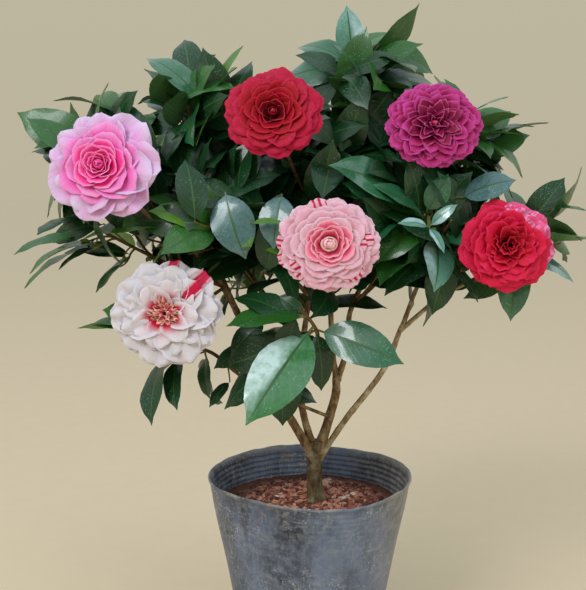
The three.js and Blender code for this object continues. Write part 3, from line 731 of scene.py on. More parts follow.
blooms = {
    "bloom_pink": dict(at=(-185, -112, 504), face=(-0.12, -0.97, 0.2), radius=50, tall=0.96,
                       stalk=((-120, -67, 437), (-142, -98, 448))),
    "bloom_red": dict(at=(-35, -100, 552), face=(-0.05, -0.97, 0.22), radius=46, tall=0.9,
                      stalk=((5.6, 0.8, 461), (-16, -44, 496))),
    "bloom_magenta": dict(at=(109, -92, 542), face=(0.02, -0.98, 0.18), radius=45, tall=0.88,
                          stalk=((94, 20.8, 463), (104, -34, 492))),
    "bloom_striped": dict(at=(13, -150, 438), face=(0.02, -0.99, 0.1), radius=46, tall=0.88,
                          stalk=((1, 5, 390), (8, -84, 402))),
    "bloom_scarlet": dict(at=(181, -84, 433), face=(0.1, -0.98, 0.1), radius=46, tall=0.94,
                          stalk=((152, -27, 390.5), (174, -54, 402))),
    "bloom_white": dict(at=(-132, -112, 374), face=(-0.06, -0.98, 0.08), radius=51, tall=0.94,
                        stalk=((-84, -48, 390), (-112, -78, 372))),
}


def stemOf(mass):
    bough = limbLines[mass["on"]]
    way = heading(bough, 1)
    foot, end = bough(1) + way * 0.3 * mm, spot(*mass["stem"])
    return arc(foot, foot + way * np.linalg.norm(end - foot) * 0.4, end)


glossyLeaves = []  # the middles of the large wet leaves, which nothing finer grows in front of
for mass in masses.values():
    glossyLeaves += [(spot(*single[0]) + spot(*single[1])) / 2 for single in mass.get("hung", ())]
    for index, entry in enumerate(mass["shoots"]):
        if entry[5] in ("misty", "milky"):
            lead = lineOf(stemOf(mass), entry, index)
            glossyLeaves.append(lead["end"] + lead["way"] * lead["lead"] * 0.45)


def hidesGlossy(point):
    return any(math.hypot(*(point - middle)[[0, 2]]) < leaf["openRound"] * mm and point[1] < middle[1]
               for middle in glossyLeaves)


def clearOfBlooms(point, room=3):
    for bloom in blooms.values():
        away = point - spot(*bloom["at"])
        axis = unit(np.array(bloom["face"]))
        ahead = float(np.dot(away, axis))
        beside = np.linalg.norm(away - axis * ahead)
        if beside < (bloom["radius"] + room) * mm and ahead > -0.3 * bloom["radius"] * mm and ahead < 0.2:
            return False
    return True


def middleAndTip(blade):
    return spineOf(blade, (0, 0.5, 1))[0][1:]


bladeMiddles = []  # of the leaves so far, which later ones keep away from


def roomFor(blade, apart):
    middle, tip = middleAndTip(blade)
    if hidesGlossy(middle) or not clearOfBlooms(middle) or not clearOfBlooms(tip):
        return False
    if any(np.linalg.norm(middle - other) < apart * mm for other in bladeMiddles):
        return False
    return bool(np.all(tip > np.array(cadLow)) and np.all(tip < np.array(cadHigh)))


def insideCrown(point):
    away = (point / mm - np.array(crown["middle"])) / np.array(crown["radii"])
    return float(np.dot(away, away)) < 1


def bud(root, way, length):
    line = arc(root, root + way * length * 0.5, root + way * length)
    fat = length * 0.24
    return sweep(line, lambda t: fat * max(0.06, math.sin(math.pi * min(1, 0.16 + 0.84 * t))**0.8), 7, 5)


def drawnTo(tip, root, light, curl):  # a leaf that reaches a tip, though it curls
    way = unit(tip - root)
    return dict(root=root, light=light, curl=curl, length=np.linalg.norm(tip - root) * 1.02,
                way=turned(way, unit(cross(way, light)), math.radians(curl * (0.5 - leaf["rise"]))))


def faced(made, root, flat, looks, lean=None):  # a leaf as it is drawn: to the same tip, its face its own way
    tip = spineOf(made, leaf["frameSteps"])[0][-1]
    way = unit(tip - root)
    share, turn = next(looks), (next(looks) - 0.5) * leaf["faceSpread"]
    if lean is not None:
        turn = lean
    light = made["light"]
    if flat or (flat is None and share < leaf["flatShare"]):
        out = leaf["flatOut"] + max(0, float(root[2]) - leaf["eyeLevel"]) * leaf["flatRise"]
        light, turn = up + (made["light"] - up * leaf["lightUp"]) * out, turn * 0.3
    light = turned(light, way, math.radians(turn))
    if np.dot(unit(cross(cross(way, light), way)), made["light"]) < leaf["leastLight"]:
        light = made["light"]  # it would have shown its under side
    return drawnTo(tip, root, light, made["curl"])


twigs = Rods()
barkTwig, greenTwig, budFinish = 0, 1, 2


class Mass:  # a mass of foliage as it grows: the leaves it has, and the draws it takes
    def __init__(self, name):
        self.asked = masses[name]
        self.bough, self.stem = limbLines[self.asked["on"]], stemOf(self.asked)
        self.reach, self.leaves = Reach(name), []
        self.extra = drawsFrom(self.asked["seed"] * 31 + 5)
        self.looks = drawsFrom(self.asked["seed"] * 13 + 2)
        twigs.add(sweep(self.stem, taper(twig["stemRadii"]), twig["sides"], 14), barkTwig)

    def keep(self, made, finish, root=None, flat=None, lean=None, **more):
        drawn = faced(made, made["root"] if root is None else root, flat, self.looks, lean)
        self.leaves.append((dict(drawn, **more), finish))

    def growShoots(self):  # the shoots that the frame has, and their leaves
        shoots = []
        for index, entry in enumerate(self.asked["shoots"]):
            grown = lineOf(self.stem, entry, index)
            if self.reach.gap(grown["end"]) > shoot["nearFrame"] * mm:
                continue  # the frame had no room for this one
            shoots.append((index, grown))
            twigs.add(sweep(grown["line"], taper(twig["radii"]), twig["sides"], 8), greenTwig)
            budWay = unit(grown["way"] + lightAt(grown["end"]) * 0.4)
            twigs.add(bud(grown["line"](shoot["budAt"]), budWay, shoot["bud"] * mm), budFinish)
        for index, grown in shoots:
            draw = drawsFrom(self.asked["seed"] + index)
            for i in range(grown["leaves"]):
                self.growLeaf(index, grown, i, draw)
        return shoots

    def growLeaf(self, index, grown, i, draw):  # the attempt that the frame kept, near its leaf's tip
        for attempt in range(leaf["tries"]):
            made = leafAt(grown, i, attempt, draw)
            if self.reach.gap(spineOf(made, leaf["frameSteps"])[0][-1]) < leaf["nearFrame"] * mm:
                break
        else:
            return
        middle = middleAndTip(made)[0]
        if i == 0:
            root = grown["line"](self.asked.get("leadFrom", shoot["leadFrom"]))
            lean, wide = self.asked.get("leads", {}).get(index, (None, 1))
            self.keep(made, grown["finish"], root, index in self.asked.get("flat", ()), lean, wide=wide)
        elif hidesGlossy(middle):
            return
        else:
            usual = "blue" if grown["finish"] == "misty" else grown["finish"]
            finish, size = self.asked.get("others", (usual, 1))
            self.keep(dict(made, length=made["length"] * size), finish)
        bladeMiddles.append(middle)

    def growFiner(self):  # lesser shoots
        for entry in self.asked.get("finer", ()):
            grown = lineOf(self.stem, entry, 0)
            twigs.add(sweep(grown["line"], taper(twig["fine"]), twig["sides"], 8), greenTwig)
            for i in range(grown["leaves"]):
                made = leafAt(grown, i, 0, self.extra)
                self.keep(made, grown["finish"], made["root"] if i else grown["line"](shoot["leadFrom"]))

    def hangLeaves(self):  # single leaves on long fine twigs
        for root, tip, wide, finish in self.asked.get("hung", ()):
            root, tip = spot(*root), spot(*tip)
            starts = [line(share) for line in (self.bough, self.stem) for share in (0.5, 0.7, 0.9)]
            gaps = [np.linalg.norm(start - root) for start in starts]
            start = starts[gaps.index(min(gaps))]
            bend = (start + root) / 2 + up * twig["droop"] * mm
            twigs.add(sweep(arc(start, bend, root), taper(twig["fine"]), 5, 8), greenTwig)
            self.leaves.append((dict(drawnTo(tip, root, lightAt(root), leaf["curl"]), wide=wide), finish))

    def leafTwig(self, line, count, finish, apart, within, longest=1):  # where there is room; true if any
        before = len(self.leaves)
        for i in range(count):
            for attempt in range(twig["tries"]):
                made = leafAt(line, i, attempt, self.extra)
                made["length"] = min(made["length"], longest)
                middle, tip = middleAndTip(made)
                if within(tip) and roomFor(made, apart):
                    self.keep(made, finish)
                    bladeMiddles.append(middle)
                    break
        return len(self.leaves) > before

    def growSprays(self, shoots):
        for index, grown in shoots:
            if index in self.asked.get("sprayed", (index,)):
                for k in range(self.asked.get("sprays", 4)):
                    self.growSpray(grown, k)

    def sprayFinish(self, shootFinish, choice):  # its shoot's own, or one of those for sprays
        asked = self.asked.get("sprayFinishes")
        if choice < spray["ownFinish"] and not asked and shootFinish != "misty":
            return shootFinish
        finishes = asked or spray["finishes"]
        return finishes[int(choice * 97) % len(finishes)]

    def growSpray(self, grown, k):
        extra = self.extra
        share = spray["first"] + spray["spacing"] * k + spray["spacingSpread"] * next(extra)
        root, axis = grown["line"](share), heading(grown["line"], share)
        turn = grown["turn"] + spray["turn"] + k * leaf["golden"] + spray["turnSpread"] * (next(extra) - 0.5)
        way = wayOut(axis, spray["lean"] + spray["leanSpread"] * next(extra), turn)
        length = (spray["length"] + spray["lengthSpread"] * (next(extra) - 0.5)) * mm
        tip = root + unit(way + lightAt(root) * spray["toLight"]) * length
        if not clearOfBlooms(tip, twig["offBlooms"]) or self.reach.gap(tip) > spray["nearFrame"] * mm:
            return
        line = arc(root, root + way * length * 0.5, tip)
        fine = dict(line=line, way=heading(line, 1),
                    lead=spray["leafLength"] * (0.9 + 0.3 * next(extra)) * mm, turn=next(extra) * 360)
        finish = self.sprayFinish(grown["finish"], next(extra))
        if self.leafTwig(fine, spray["leaves"], finish, spray["apart"],
                         lambda place: self.reach.gap(place) < spray["reach"] * mm, fine["lead"]):
            twigs.add(sweep(line, taper(twig["fine"]), 5, 5), greenTwig)

    def fillInside(self):  # inner twigs on the bough's upper part and on the stem
        extra = self.extra
        count = crown["inner"] if self.asked.get("inner", True) else 0
        for k in range(count):
            share = (k + next(extra)) / count * (1 + crown["onStem"]) - crown["onStem"]
            onBough = 1 + share * crown["onBough"] / crown["onStem"]
            line, at = (self.bough, onBough) if share < 0 else (self.stem, share)
            root, axis = line(at), heading(line, at)
            way = wayOut(axis, crown["lean"] + crown["leanSpread"] * next(extra),
                         k * leaf["golden"] + crown["turnSpread"] * next(extra))
            length = crown["twig"] * (0.7 + 0.6 * next(extra)) * mm
            tip = root + unit(way + up * crown["toLight"]) * length
            if not insideCrown(root) or not insideCrown(tip) or not clearOfBlooms(tip, twig["offBlooms"]):
                continue
            line = arc(root, root + way * length * 0.5, tip)
            inner = dict(line=line, way=heading(line, 1), turn=next(extra) * 360,
                         lead=crown["leafLength"] * (0.9 + 0.3 * next(extra)) * mm)
            if self.leafTwig(inner, crown["leaves"], crown["finish"], crown["apart"], insideCrown):
                twigs.add(sweep(line, taper(twig["radii"]), 6, 6), barkTwig)


def growMass(name):  # its leaves, each with its finish
    mass = Mass(name)
    shoots = mass.growShoots()
    framed = len(mass.leaves)
    mass.growFiner()
    mass.hangLeaves()
    mass.growSprays(shoots)
    mass.fillInside()
    top = mass.asked.get("under", 1000) * mm
    usual = {"wide": mass.asked.get("wide", 1)}
    leaves = [({**usual, **made}, finish) for made, finish in mass.leaves if middleAndTip(made)[1][2] < top]
    print(name, framed, "leaves of the frame,", len(leaves), "in all")
    return leaves


faceColumns = len(leaf["columns"]) - 1
faceRows = len(leaf["rows"]) - 1


def leafSides(at, ribAt):  # upper faces, the rib along their middle, then the under side
    row = [at] * faceColumns
    row[faceColumns // 2] = ribAt
    return np.array(row * faceRows + [at + 1] * faceColumns * faceRows)


leafCount = 0
for name in masses:
    blades = Blades(leaf["rows"], leaf["columns"])
    draw = drawsFrom(masses[name]["seed"] * 3 + 900)
    leaves = growMass(name)
    kinds = {finish for made, finish in leaves}
    used = [kind for kind in leafFinishes if kind in kinds]
    for made, finish in leaves:
        sides = leafSides(used.index(finish) * 2, len(used) * 2)
        blades.add(leafGrid(made, draw), leaf["thickness"] * mm, next(draw), sides)
    slots = [side for kind in used for side in leafFinishes[kind]] + [ribFinish]
    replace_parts(blades.piece(name.replace("foliage", "leaves"), slots, "leaves"), name)
    leafCount += len(leaves)
print("leaves:", leafCount)

for bloom in blooms.values():  # the flowering twigs
    foot, bend = [spot(*p) for p in bloom["stalk"]]
    end = spot(*bloom["at"]) - unit(np.array(bloom["face"])) * 0.3 * bloom["radius"] * mm
    twigs.add(sweep(arc(foot, bend, end), taper(twig["stalkRadii"]), 8, 14), barkTwig)

greenBark = Finish("greenTwig", roughness=0.5, specularIorLevel=0.4)
greenBark.set("baseColor", greenBark.mix(greenBark.grain(120), colour(96, 112, 48), colour(112, 84, 48)))
greenBark.bump(greenBark.grain(700), 0.4, 0.0006)
budSkin = Finish("leafBud", specularIorLevel=0.5)
budSkin.set("baseColor", budSkin.mix(budSkin.grain(300), colour(140, 160, 62), colour(104, 118, 44)))
budSkin.set("roughness", 0.35 + 0.2 * budSkin.grain(200))
budSkin.bump(budSkin.grain(600), 0.3, 0.0005)
youngBark = barkFinish("youngBark", colour(118, 92, 58), colour(74, 54, 34), colour(140, 128, 88), 0.4)
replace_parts(twigs.piece("twigs", [youngBark, greenBark, budSkin], "bark"), *masses)


# The blooms: tiers of petals round the axis, from the rim in to the heart.

petal = dict(rows=(0, 0.1, 0.22, 0.35, 0.48, 0.6, 0.71, 0.8, 0.88, 0.94, 0.975, 1),
             columns=(-1, -0.86, -0.66, -0.43, -0.2, 0, 0.2, 0.43, 0.66, 0.86, 1), thickness=0.6,
             widest=0.78, narrowFrom=0.74, narrow=0.12, lowered=0.03, sepalThickness=0.8)


def tier(count, reach, rise, opened, half, **more):  # lengths are shares of the bloom's radius
    usual = dict(cup=0.06, ruffle=0.03, waves=2.0, tip=0.0, round=0.2, spread=0.66, jitter=0.03, frill=0.012,
                 wrap=0, skin=0)
    return dict(usual, count=count, reach=reach, rise=rise, opened=opened, half=half, **more)


def budTier(count, reach, rise, opened, skin):  # petals closed over each other
    return tier(count, reach, rise, opened, 0.1, cup=0, ruffle=0, round=0.1, wrap=1.15, jitter=0.04,
                skin=skin)


heads = {
    "bloom_pink": [
        tier(7, 1.06, -0.03, 101, 0.56, ruffle=0.09, waves=2.8, jitter=0.05, round=0.15),
        tier(7, 0.93, 0.05, 98, 0.5, ruffle=0.08, waves=2.6, jitter=0.05, round=0.15),
        tier(6, 0.77, 0.13, 90, 0.46, ruffle=0.05, waves=2.4, jitter=0.05, skin=1),
        tier(6, 0.61, 0.2, 78, 0.43, ruffle=0.03, skin=1),
        tier(5, 0.48, 0.25, 62, 0.4, cup=0.08, skin=2),
        tier(5, 0.37, 0.28, 46, 0.36, cup=0.1, skin=2),
        tier(4, 0.27, 0.3, 30, 0.3, cup=0.12, skin=2),
        tier(4, 0.18, 0.3, 12, 0.22, cup=0.12, skin=2),
        budTier(3, 0.07, 0.3, -18, 2), budTier(3, -0.01, 0.31, -70, 2)],
    "bloom_red": [
        tier(11, 1.0, -0.06, 99, 0.36, ruffle=0.04, round=0.12),
        tier(10, 0.94, 0.02, 96, 0.36, ruffle=0.04, round=0.12),
        tier(9, 0.83, 0.1, 90, 0.35, cup=0.08, ruffle=0.04, round=0.14),
        tier(8, 0.7, 0.16, 80, 0.36, cup=0.1, ruffle=0.035, round=0.14, skin=1),
        tier(6, 0.57, 0.2, 66, 0.38, cup=0.12, ruffle=0.03, skin=1),
        tier(5, 0.43, 0.2, 48, 0.34, cup=0.12, skin=1),
        tier(4, 0.27, 0.14, 26, 0.26, cup=0.12, skin=3),
        budTier(3, 0.08, 0.17, -20, 1), budTier(3, -0.01, 0.18, -70, 2)],
    "bloom_magenta": [
        tier(14, 1.0, -0.07, 98, 0.26, cup=0.1, round=0.09),
        tier(13, 0.95, 0.0, 95, 0.26, cup=0.12, round=0.09, tip=0.03),
        tier(13, 0.87, 0.06, 92, 0.25, cup=0.14, round=0.1, tip=0.06),
        tier(12, 0.77, 0.12, 88, 0.25, cup=0.16, round=0.12, tip=0.1),
        tier(10, 0.66, 0.17, 82, 0.25, cup=0.18, round=0.14, tip=0.14),
        tier(8, 0.55, 0.21, 76, 0.25, cup=0.2, tip=0.2, skin=1),
        tier(7, 0.44, 0.24, 68, 0.22, cup=0.2, tip=0.26, skin=1),
        tier(6, 0.34, 0.26, 58, 0.19, cup=0.2, tip=0.3, skin=1),
        tier(5, 0.23, 0.27, 44, 0.15, cup=0.2, tip=0.32, skin=1),
        tier(4, 0.13, 0.28, 24, 0.1, cup=0.2, tip=0.3, skin=1), budTier(3, -0.01, 0.27, -70, 2)],
    "bloom_striped": [
        tier(15, 1.0, -0.06, 98, 0.28, ruffle=0.03, round=0.1, frill=0.01),
        tier(14, 0.94, 0.0, 96, 0.28, ruffle=0.03, round=0.1, frill=0.01),
        tier(12, 0.85, 0.07, 92, 0.3, ruffle=0.03, round=0.11, frill=0.01),
        tier(10, 0.73, 0.13, 86, 0.32, cup=0.08, ruffle=0.02, round=0.12, frill=0.008),
        tier(8, 0.61, 0.18, 80, 0.35, cup=0.1, ruffle=0.015),
        tier(6, 0.49, 0.22, 70, 0.34, cup=0.1, ruffle=0.015, skin=1),
        tier(5, 0.38, 0.25, 48, 0.31, cup=0.1, skin=1),
        tier(4, 0.29, 0.26, 26, 0.26, cup=0.1, skin=1),
        budTier(5, 0.13, 0.3, -22, 2), budTier(4, 0.07, 0.33, -42, 2), budTier(3, -0.01, 0.34, -80, 2)],
    "bloom_scarlet": [
        tier(9, 1.0, -0.09, 98, 0.42, ruffle=0.04, waves=2.6, jitter=0.03, round=0.12, frill=0.012),
        tier(9, 0.95, 0.0, 94, 0.42, ruffle=0.05, waves=2.8, jitter=0.04, round=0.12, frill=0.014),
        tier(8, 0.86, 0.1, 87, 0.42, ruffle=0.06, waves=3, jitter=0.06, round=0.12, frill=0.016),
        tier(8, 0.74, 0.19, 78, 0.38, ruffle=0.06, waves=3, jitter=0.07, round=0.12, frill=0.016),
        tier(8, 0.61, 0.25, 66, 0.32, ruffle=0.06, waves=3, jitter=0.1, round=0.14, frill=0.02),
        tier(7, 0.46, 0.28, 52, 0.25, ruffle=0.06, waves=3, jitter=0.11, skin=1),
        tier(5, 0.31, 0.26, 36, 0.2, ruffle=0.05, jitter=0.1, skin=1),
        tier(4, 0.18, 0.23, 20, 0.14, ruffle=0.04, jitter=0.1, skin=1),
        tier(3, 0.08, 0.2, 0, 0.08, jitter=0.08, skin=1)],
    "bloom_white": [
        tier(10, 1.05, -0.08, 103, 0.42, ruffle=0.06, waves=2.7, jitter=0.05, round=0.14, frill=0.014),
        tier(10, 0.96, 0.0, 99, 0.38, ruffle=0.07, waves=2.8, jitter=0.06, round=0.14, frill=0.014),
        tier(9, 0.8, 0.08, 93, 0.35, ruffle=0.07, waves=2.8, jitter=0.06, round=0.15, frill=0.014),
        tier(8, 0.63, 0.12, 84, 0.3, ruffle=0.05, waves=2.7, jitter=0.07, skin=1),
        tier(7, 0.42, 0.1, 66, 0.18, ruffle=0.05, jitter=0.12, skin=1),
        tier(9, 0.27, 0.1, 48, 0.07, ruffle=0.08, waves=4, jitter=0.2, frill=0.05, skin=2),
        tier(11, 0.19, 0.1, 36, 0.045, jitter=0.2, skin=2),
        tier(8, 0.1, 0.12, 12, 0.04, jitter=0.2, skin=2)],
}


def skin(base, body, edgeTintAndHighlight, **more):  # the colours at a petal's foot, along it and at its edge; a dark foot colour is painted shade deep in the bloom, and the edge colour is partly the petal's own paler edge and partly a painted edge highlight
    return dict(base=colour(*base), body=colour(*body), edgeTintAndHighlight=colour(*edgeTintAndHighlight), **more)


skins = {  # each bloom's petal finishes, by the number in its tiers; marked petals wear the last
    "bloom_pink": [
        skin((226, 70, 170), (226, 116, 198), (214, 196, 228), edge=0.12, fade=0.46),
        skin((222, 40, 150), (232, 84, 176), (236, 156, 214), edge=0.09, fade=0.22),
        skin((240, 24, 128), (246, 66, 158), (246, 144, 202), edge=0.05, fade=0.12)],
    # the dark foot colours here are painted shade in the bloom's well
    "bloom_red": [
        skin((92, 0, 14), (168, 0, 28), (190, 22, 68), edge=0.12, fade=0.36, blush=(0.35, 0.85)),
        skin((44, 0, 4), (160, 0, 20), (184, 18, 50), edge=0.05, fade=0.2, blush=(0.35, 0.9)),
        skin((130, 4, 20), (168, 20, 44), (214, 110, 130), edge=0.1, fade=0.2),
        skin((56, 0, 6), (132, 0, 18), (186, 52, 66), edge=0.03, fade=0.1, blush=(0.3, 0.9))],
    # the dark foot colours here are painted shade in the bloom's well
    "bloom_magenta": [
        skin((84, 0, 36), (164, 6, 84), (200, 66, 152), edge=0.06, fade=0.16, blush=(0.5, 0.98)),
        skin((44, 0, 16), (140, 4, 70), (196, 84, 140), edge=0.03, fade=0.08, blush=(0.3, 0.95)),
        skin((160, 20, 70), (190, 40, 90), (230, 120, 170), edge=0.1, fade=0.2)],
    "bloom_striped": [
        skin((208, 84, 124), (224, 132, 160), (226, 188, 204), edge=0.12, fade=0.4),
        skin((222, 30, 78), (240, 112, 148), (240, 178, 194), edge=0.06, fade=0.14, blush=(0.3, 0.9)),
        skin((236, 110, 140), (248, 178, 190), (250, 218, 216), edge=0.1, fade=0.3),
        skin((208, 84, 124), (224, 140, 166), (226, 188, 204), edge=0.12, fade=0.4,
             marks=dict(kind="bars", tint=colour(192, 26, 70), across=3, lengthwise=1.6, level=0.5, soft=0.16,
                        start=0.5))],
    # the dark foot colours here are painted shade in the bloom's well
    "bloom_scarlet": [
        skin((120, 0, 18), (200, 0, 38), (222, 28, 78), edge=0.1, fade=0.34, blush=(0.25, 0.8)),
        skin((84, 0, 8), (184, 4, 34), (210, 40, 70), edge=0.08, fade=0.24, blush=(0.3, 0.9)),
        skin((166, 2, 34), (210, 20, 72), (234, 92, 148), edge=0.14, fade=0.4,
             marks=dict(kind="strokes", tint=colour(236, 150, 196), across=4, lengthwise=4, level=0.54,
                        soft=0.08, start=0.45))],
    "bloom_white": [
        skin((190, 172, 180), (202, 194, 202), (214, 208, 216), streaks=0.16),
        skin((188, 10, 54), (208, 190, 198), (216, 210, 217), blush=(0.5, 0.8), streaks=0.16),
        skin((200, 30, 76), (232, 124, 132), (242, 202, 182), blush=(0.3, 0.8)),
        skin((190, 172, 180), (202, 194, 202), (214, 208, 216), streaks=0.16,
             marks=dict(kind="band", tint=colour(190, 12, 62), across=5.0, lengthwise=1.2, level=0.62,
                        soft=0.2, start=0.2))],
}
marked = {  # the petals near these angles, in degrees, in these tiers
    "bloom_striped": [(14, (2, 3)), (112, (0, 1)), (172, (0, 1)), (190, (0, 1)), (206, (2,)), (240, (1,)),
                      (298, (1,))],
    "bloom_scarlet": [(50, (0, 1, 2, 3)), (84, (0, 1, 2)), (-24, (0,))],
    "bloom_white": [(30, (1, 2)), (44, (0,)), (64, (0,)), (86, (0,))],
}


def petalGrid(axes, middle, radius, shape, angle, draw):
    right, over, axis = axes
    jitter = shape["jitter"]
    size = 1 + jitter * (next(draw) - 0.5) * 2
    reach, half = shape["reach"] * size, shape["half"] * size
    tip = np.array([reach, shape["rise"] + jitter * (next(draw) - 0.5) * 1.2])
    opened = math.radians(shape["opened"] + jitter * (next(draw) - 0.5) * 160)
    foot = np.array([0.03 + 0.05 * reach, 0.02 - 0.26 * reach])
    pull = tip - np.array([math.sin(opened), math.cos(opened)]) * np.linalg.norm(tip - foot) * shape["spread"]
    phase, phaseAcross = next(draw) * 6.28, next(draw) * 6.28
    s = np.array(petal["rows"])[:, None]
    v = np.array(petal["columns"])[None]
    u = s * (1 - shape["round"] * np.abs(v)**2.4 * s + shape["tip"] * (1 - np.abs(v))**2 * s * s * 0.35)
    u = u + shape["frill"] * np.sin(v * 11 + phase) * s**8
    foot, pull, tip = [p[:, None, None] for p in (foot, pull, tip)]
    line = foot * (1 - u)**2 + pull * 2 * u * (1 - u) + tip * u * u
    slope = (pull - foot) * (1 - u) + (tip - pull) * u
    slope = slope / np.sqrt(slope[0]**2 + slope[1]**2 + 1e-9)
    width = half * (0.3 + 0.7 * np.sin(np.clip(s / petal["widest"], 0, 1) * np.pi / 2)**1.1)
    width = width * (1 - (petal["narrow"] + shape["tip"]) * ease(petal["narrowFrom"], 1.0, s))
    lift = shape["cup"] * width * v**2 * (0.35 + 0.65 * s)
    folds = np.sin(v * shape["waves"] * 2 + phase) * (0.35 + 0.65 * np.abs(v))
    lift = lift + shape["ruffle"] * s**2 * (folds + 0.5 * np.sin(v * 7 + phaseAcross) * s)
    outward, high = line[0] - slope[1] * lift, line[1] + slope[0] * lift
    girth = np.maximum(np.abs(outward), 0.45 * abs(reach) + 0.04)  # it bends round the axis, this far out
    swing = width * v / girth
    if shape["wrap"]:
        girth, swing = np.abs(outward), shape["wrap"] * v + 0 * s
    radial = right * math.cos(angle) + over * math.sin(angle)
    beside = over * math.cos(angle) - right * math.sin(angle)
    return middle + radius * (radial * (outward - girth * (1 - np.cos(swing)))[..., None]
                              + axis * high[..., None] + beside * (girth * np.sin(swing))[..., None])


def bloomAxes(bloom):
    axis = unit(np.array(bloom["face"]))
    right = unit(cross(up, axis))
    return right, cross(axis, right) * bloom["tall"], axis


calyx = Finish("calyx", specularIorLevel=0.3)
calyx.set("baseColor", calyx.mix(calyx.grain(180), colour(92, 104, 50), colour(96, 70, 42)))
calyx.set("roughness", 0.55 + 0.2 * calyx.grain(300))
calyx.bump(calyx.grain(500), 0.4, 0.0008)
petalSides = (len(petal["columns"]) - 1) * (len(petal["rows"]) - 1) * 2
sepals = tier(5, 0.4, -0.2, 80, 0.24, cup=0.3, ruffle=0, tip=0.1)


def isMarked(name, angle, number):
    nearest = 180 / heads[name][number]["count"]
    return any(number in tiers and abs((math.degrees(angle) - middle + 180) % 360 - 180) < nearest
               for middle, tiers in marked.get(name, ()))


def makeBloom(name):
    bloom = blooms[name]
    finishes = [petalFinish(f"{name}_{i}", **look) for i, look in enumerate(skins[name])]
    axes, middle, radius = bloomAxes(bloom), spot(*bloom["at"]), bloom["radius"] * mm
    draw = drawsFrom(len(name) * 17 + bloom["radius"] + abs(bloom["at"][0]) + 400)
    blades = Blades(petal["rows"], petal["columns"])
    for number, shape in enumerate(heads[name]):
        start = number * 2.4 + next(draw)
        for k in range(shape["count"]):
            angle = start + (k + shape["jitter"] * 3 * (next(draw) - 0.5)) * 2 * math.pi / shape["count"]
            lower = petal["lowered"] * (k % 2)  # every second petal lies a little lower
            placed = dict(shape, rise=shape["rise"] - lower, reach=shape["reach"] * (1 - lower))
            grid = petalGrid(axes, middle, radius, placed, angle, draw)
            worn = len(finishes) - 1 if isMarked(name, angle, number) else shape["skin"]
            blades.add(grid, petal["thickness"] * mm, next(draw), np.full(petalSides, worn))
    for k in range(10):  # the sepals, in two rows
        foot = middle - axes[2] * radius * (0.08 + 0.05 * (k % 2))
        grid = petalGrid(axes, foot, radius, sepals, k * 2 * math.pi / 5, draw)
        blades.add(grid, petal["sepalThickness"] * mm, next(draw), np.full(petalSides, len(finishes)))
    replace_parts(blades.piece(name + "_petals", [*finishes, calyx], name), name)


for name in blooms:
    makeBloom(name)
print("blooms:", len(blooms))


# The pot.

pot = dict(height=190, rim=105, foot=68, wall=1.8, floor=3, lip=1.7, lipDepth=7, lipRows=8, ribs=5,
           ribStep=5.5, ribRows=8, ribRelief=1.1, sides=180, dentAt=232, dentDepth=7, dentWidth=26, slack=1.5,
           rimWave=2.4, rimNicks=1.1)


def potRadius(z):
    return pot["foot"] + (pot["rim"] - pot["foot"]) * z / pot["height"]


def dentAt(angle, z):  # how far the soft wall is pushed in
    away = (math.degrees(angle) % 360 - pot["dentAt"]) / pot["dentWidth"]
    return pot["dentDepth"] * math.exp(-away * away) * ease(60, pot["height"], z)


def potProfile():  # the ring it stands on, the wall, the ribs and the rolled rim, outside and inside
    wall, top, foot = pot["wall"], pot["height"], pot["foot"]
    outside = [(0, 0.4), (foot - 8, 0.4), (foot - 5, 0), (foot - 1.2, 0), (potRadius(2), 1.6)]
    inside = [(0, pot["floor"]), (potRadius(pot["floor"]) - wall - 2, pot["floor"])]
    ribFoot = top - pot["lipDepth"] - pot["ribs"] * pot["ribStep"]
    for z in np.linspace(8, ribFoot, 30):
        outside.append((potRadius(z), z))
        inside.append((potRadius(z) - wall, z))
    for k in range(pot["ribs"] * pot["ribRows"] + 1):
        z = ribFoot + k * pot["ribStep"] / pot["ribRows"]
        relief = pot["ribRelief"] * (0.5 - 0.5 * math.cos(2 * math.pi * k / pot["ribRows"]))
        outside.append((potRadius(z) + relief * 0.25, z))
        inside.append((potRadius(z) - wall + relief, z))
    for k in range(pot["lipRows"] + 1):
        a = math.radians(-80 + 200 * k / pot["lipRows"])
        outside.append((pot["rim"] + 0.4 + (pot["lip"] - 1) * math.cos(a), top - 1.6 + 1.5 * math.sin(a)))
    inside.append((pot["rim"] - wall + 0.4, top - 1.6))
    return outside + inside[::-1]


def potShape():
    profile, verts = potProfile(), []
    for j in range(pot["sides"]):
        angle = 2 * math.pi * j / pot["sides"]
        x, y = math.cos(angle), math.sin(angle)
        edge = Vector((x, y, 7))
        wave = pot["rimWave"] * noise.noise(edge * 1.3) + pot["rimNicks"] * noise.noise(edge * 7)
        for r, z in profile:
            loose = noise.noise(Vector((x * 1.6, y * 1.6, z / 60))) * pot["slack"]
            onWall = ease(30, 60, r)  # the floor stays as it is
            out = r + (loose * ease(10, 120, z) - dentAt(angle, z)) * onWall
            verts.append(spot(out * x, out * y, max(0, z + wave * ease(150, 190, z) * onWall)))
    n = len(profile)
    faces = [(j * n + i, (j + 1) % pot["sides"] * n + i, (j + 1) % pot["sides"] * n + i + 1, j * n + i + 1)
             for j in range(pot["sides"]) for i in range(n - 1)]
    return verts, faces


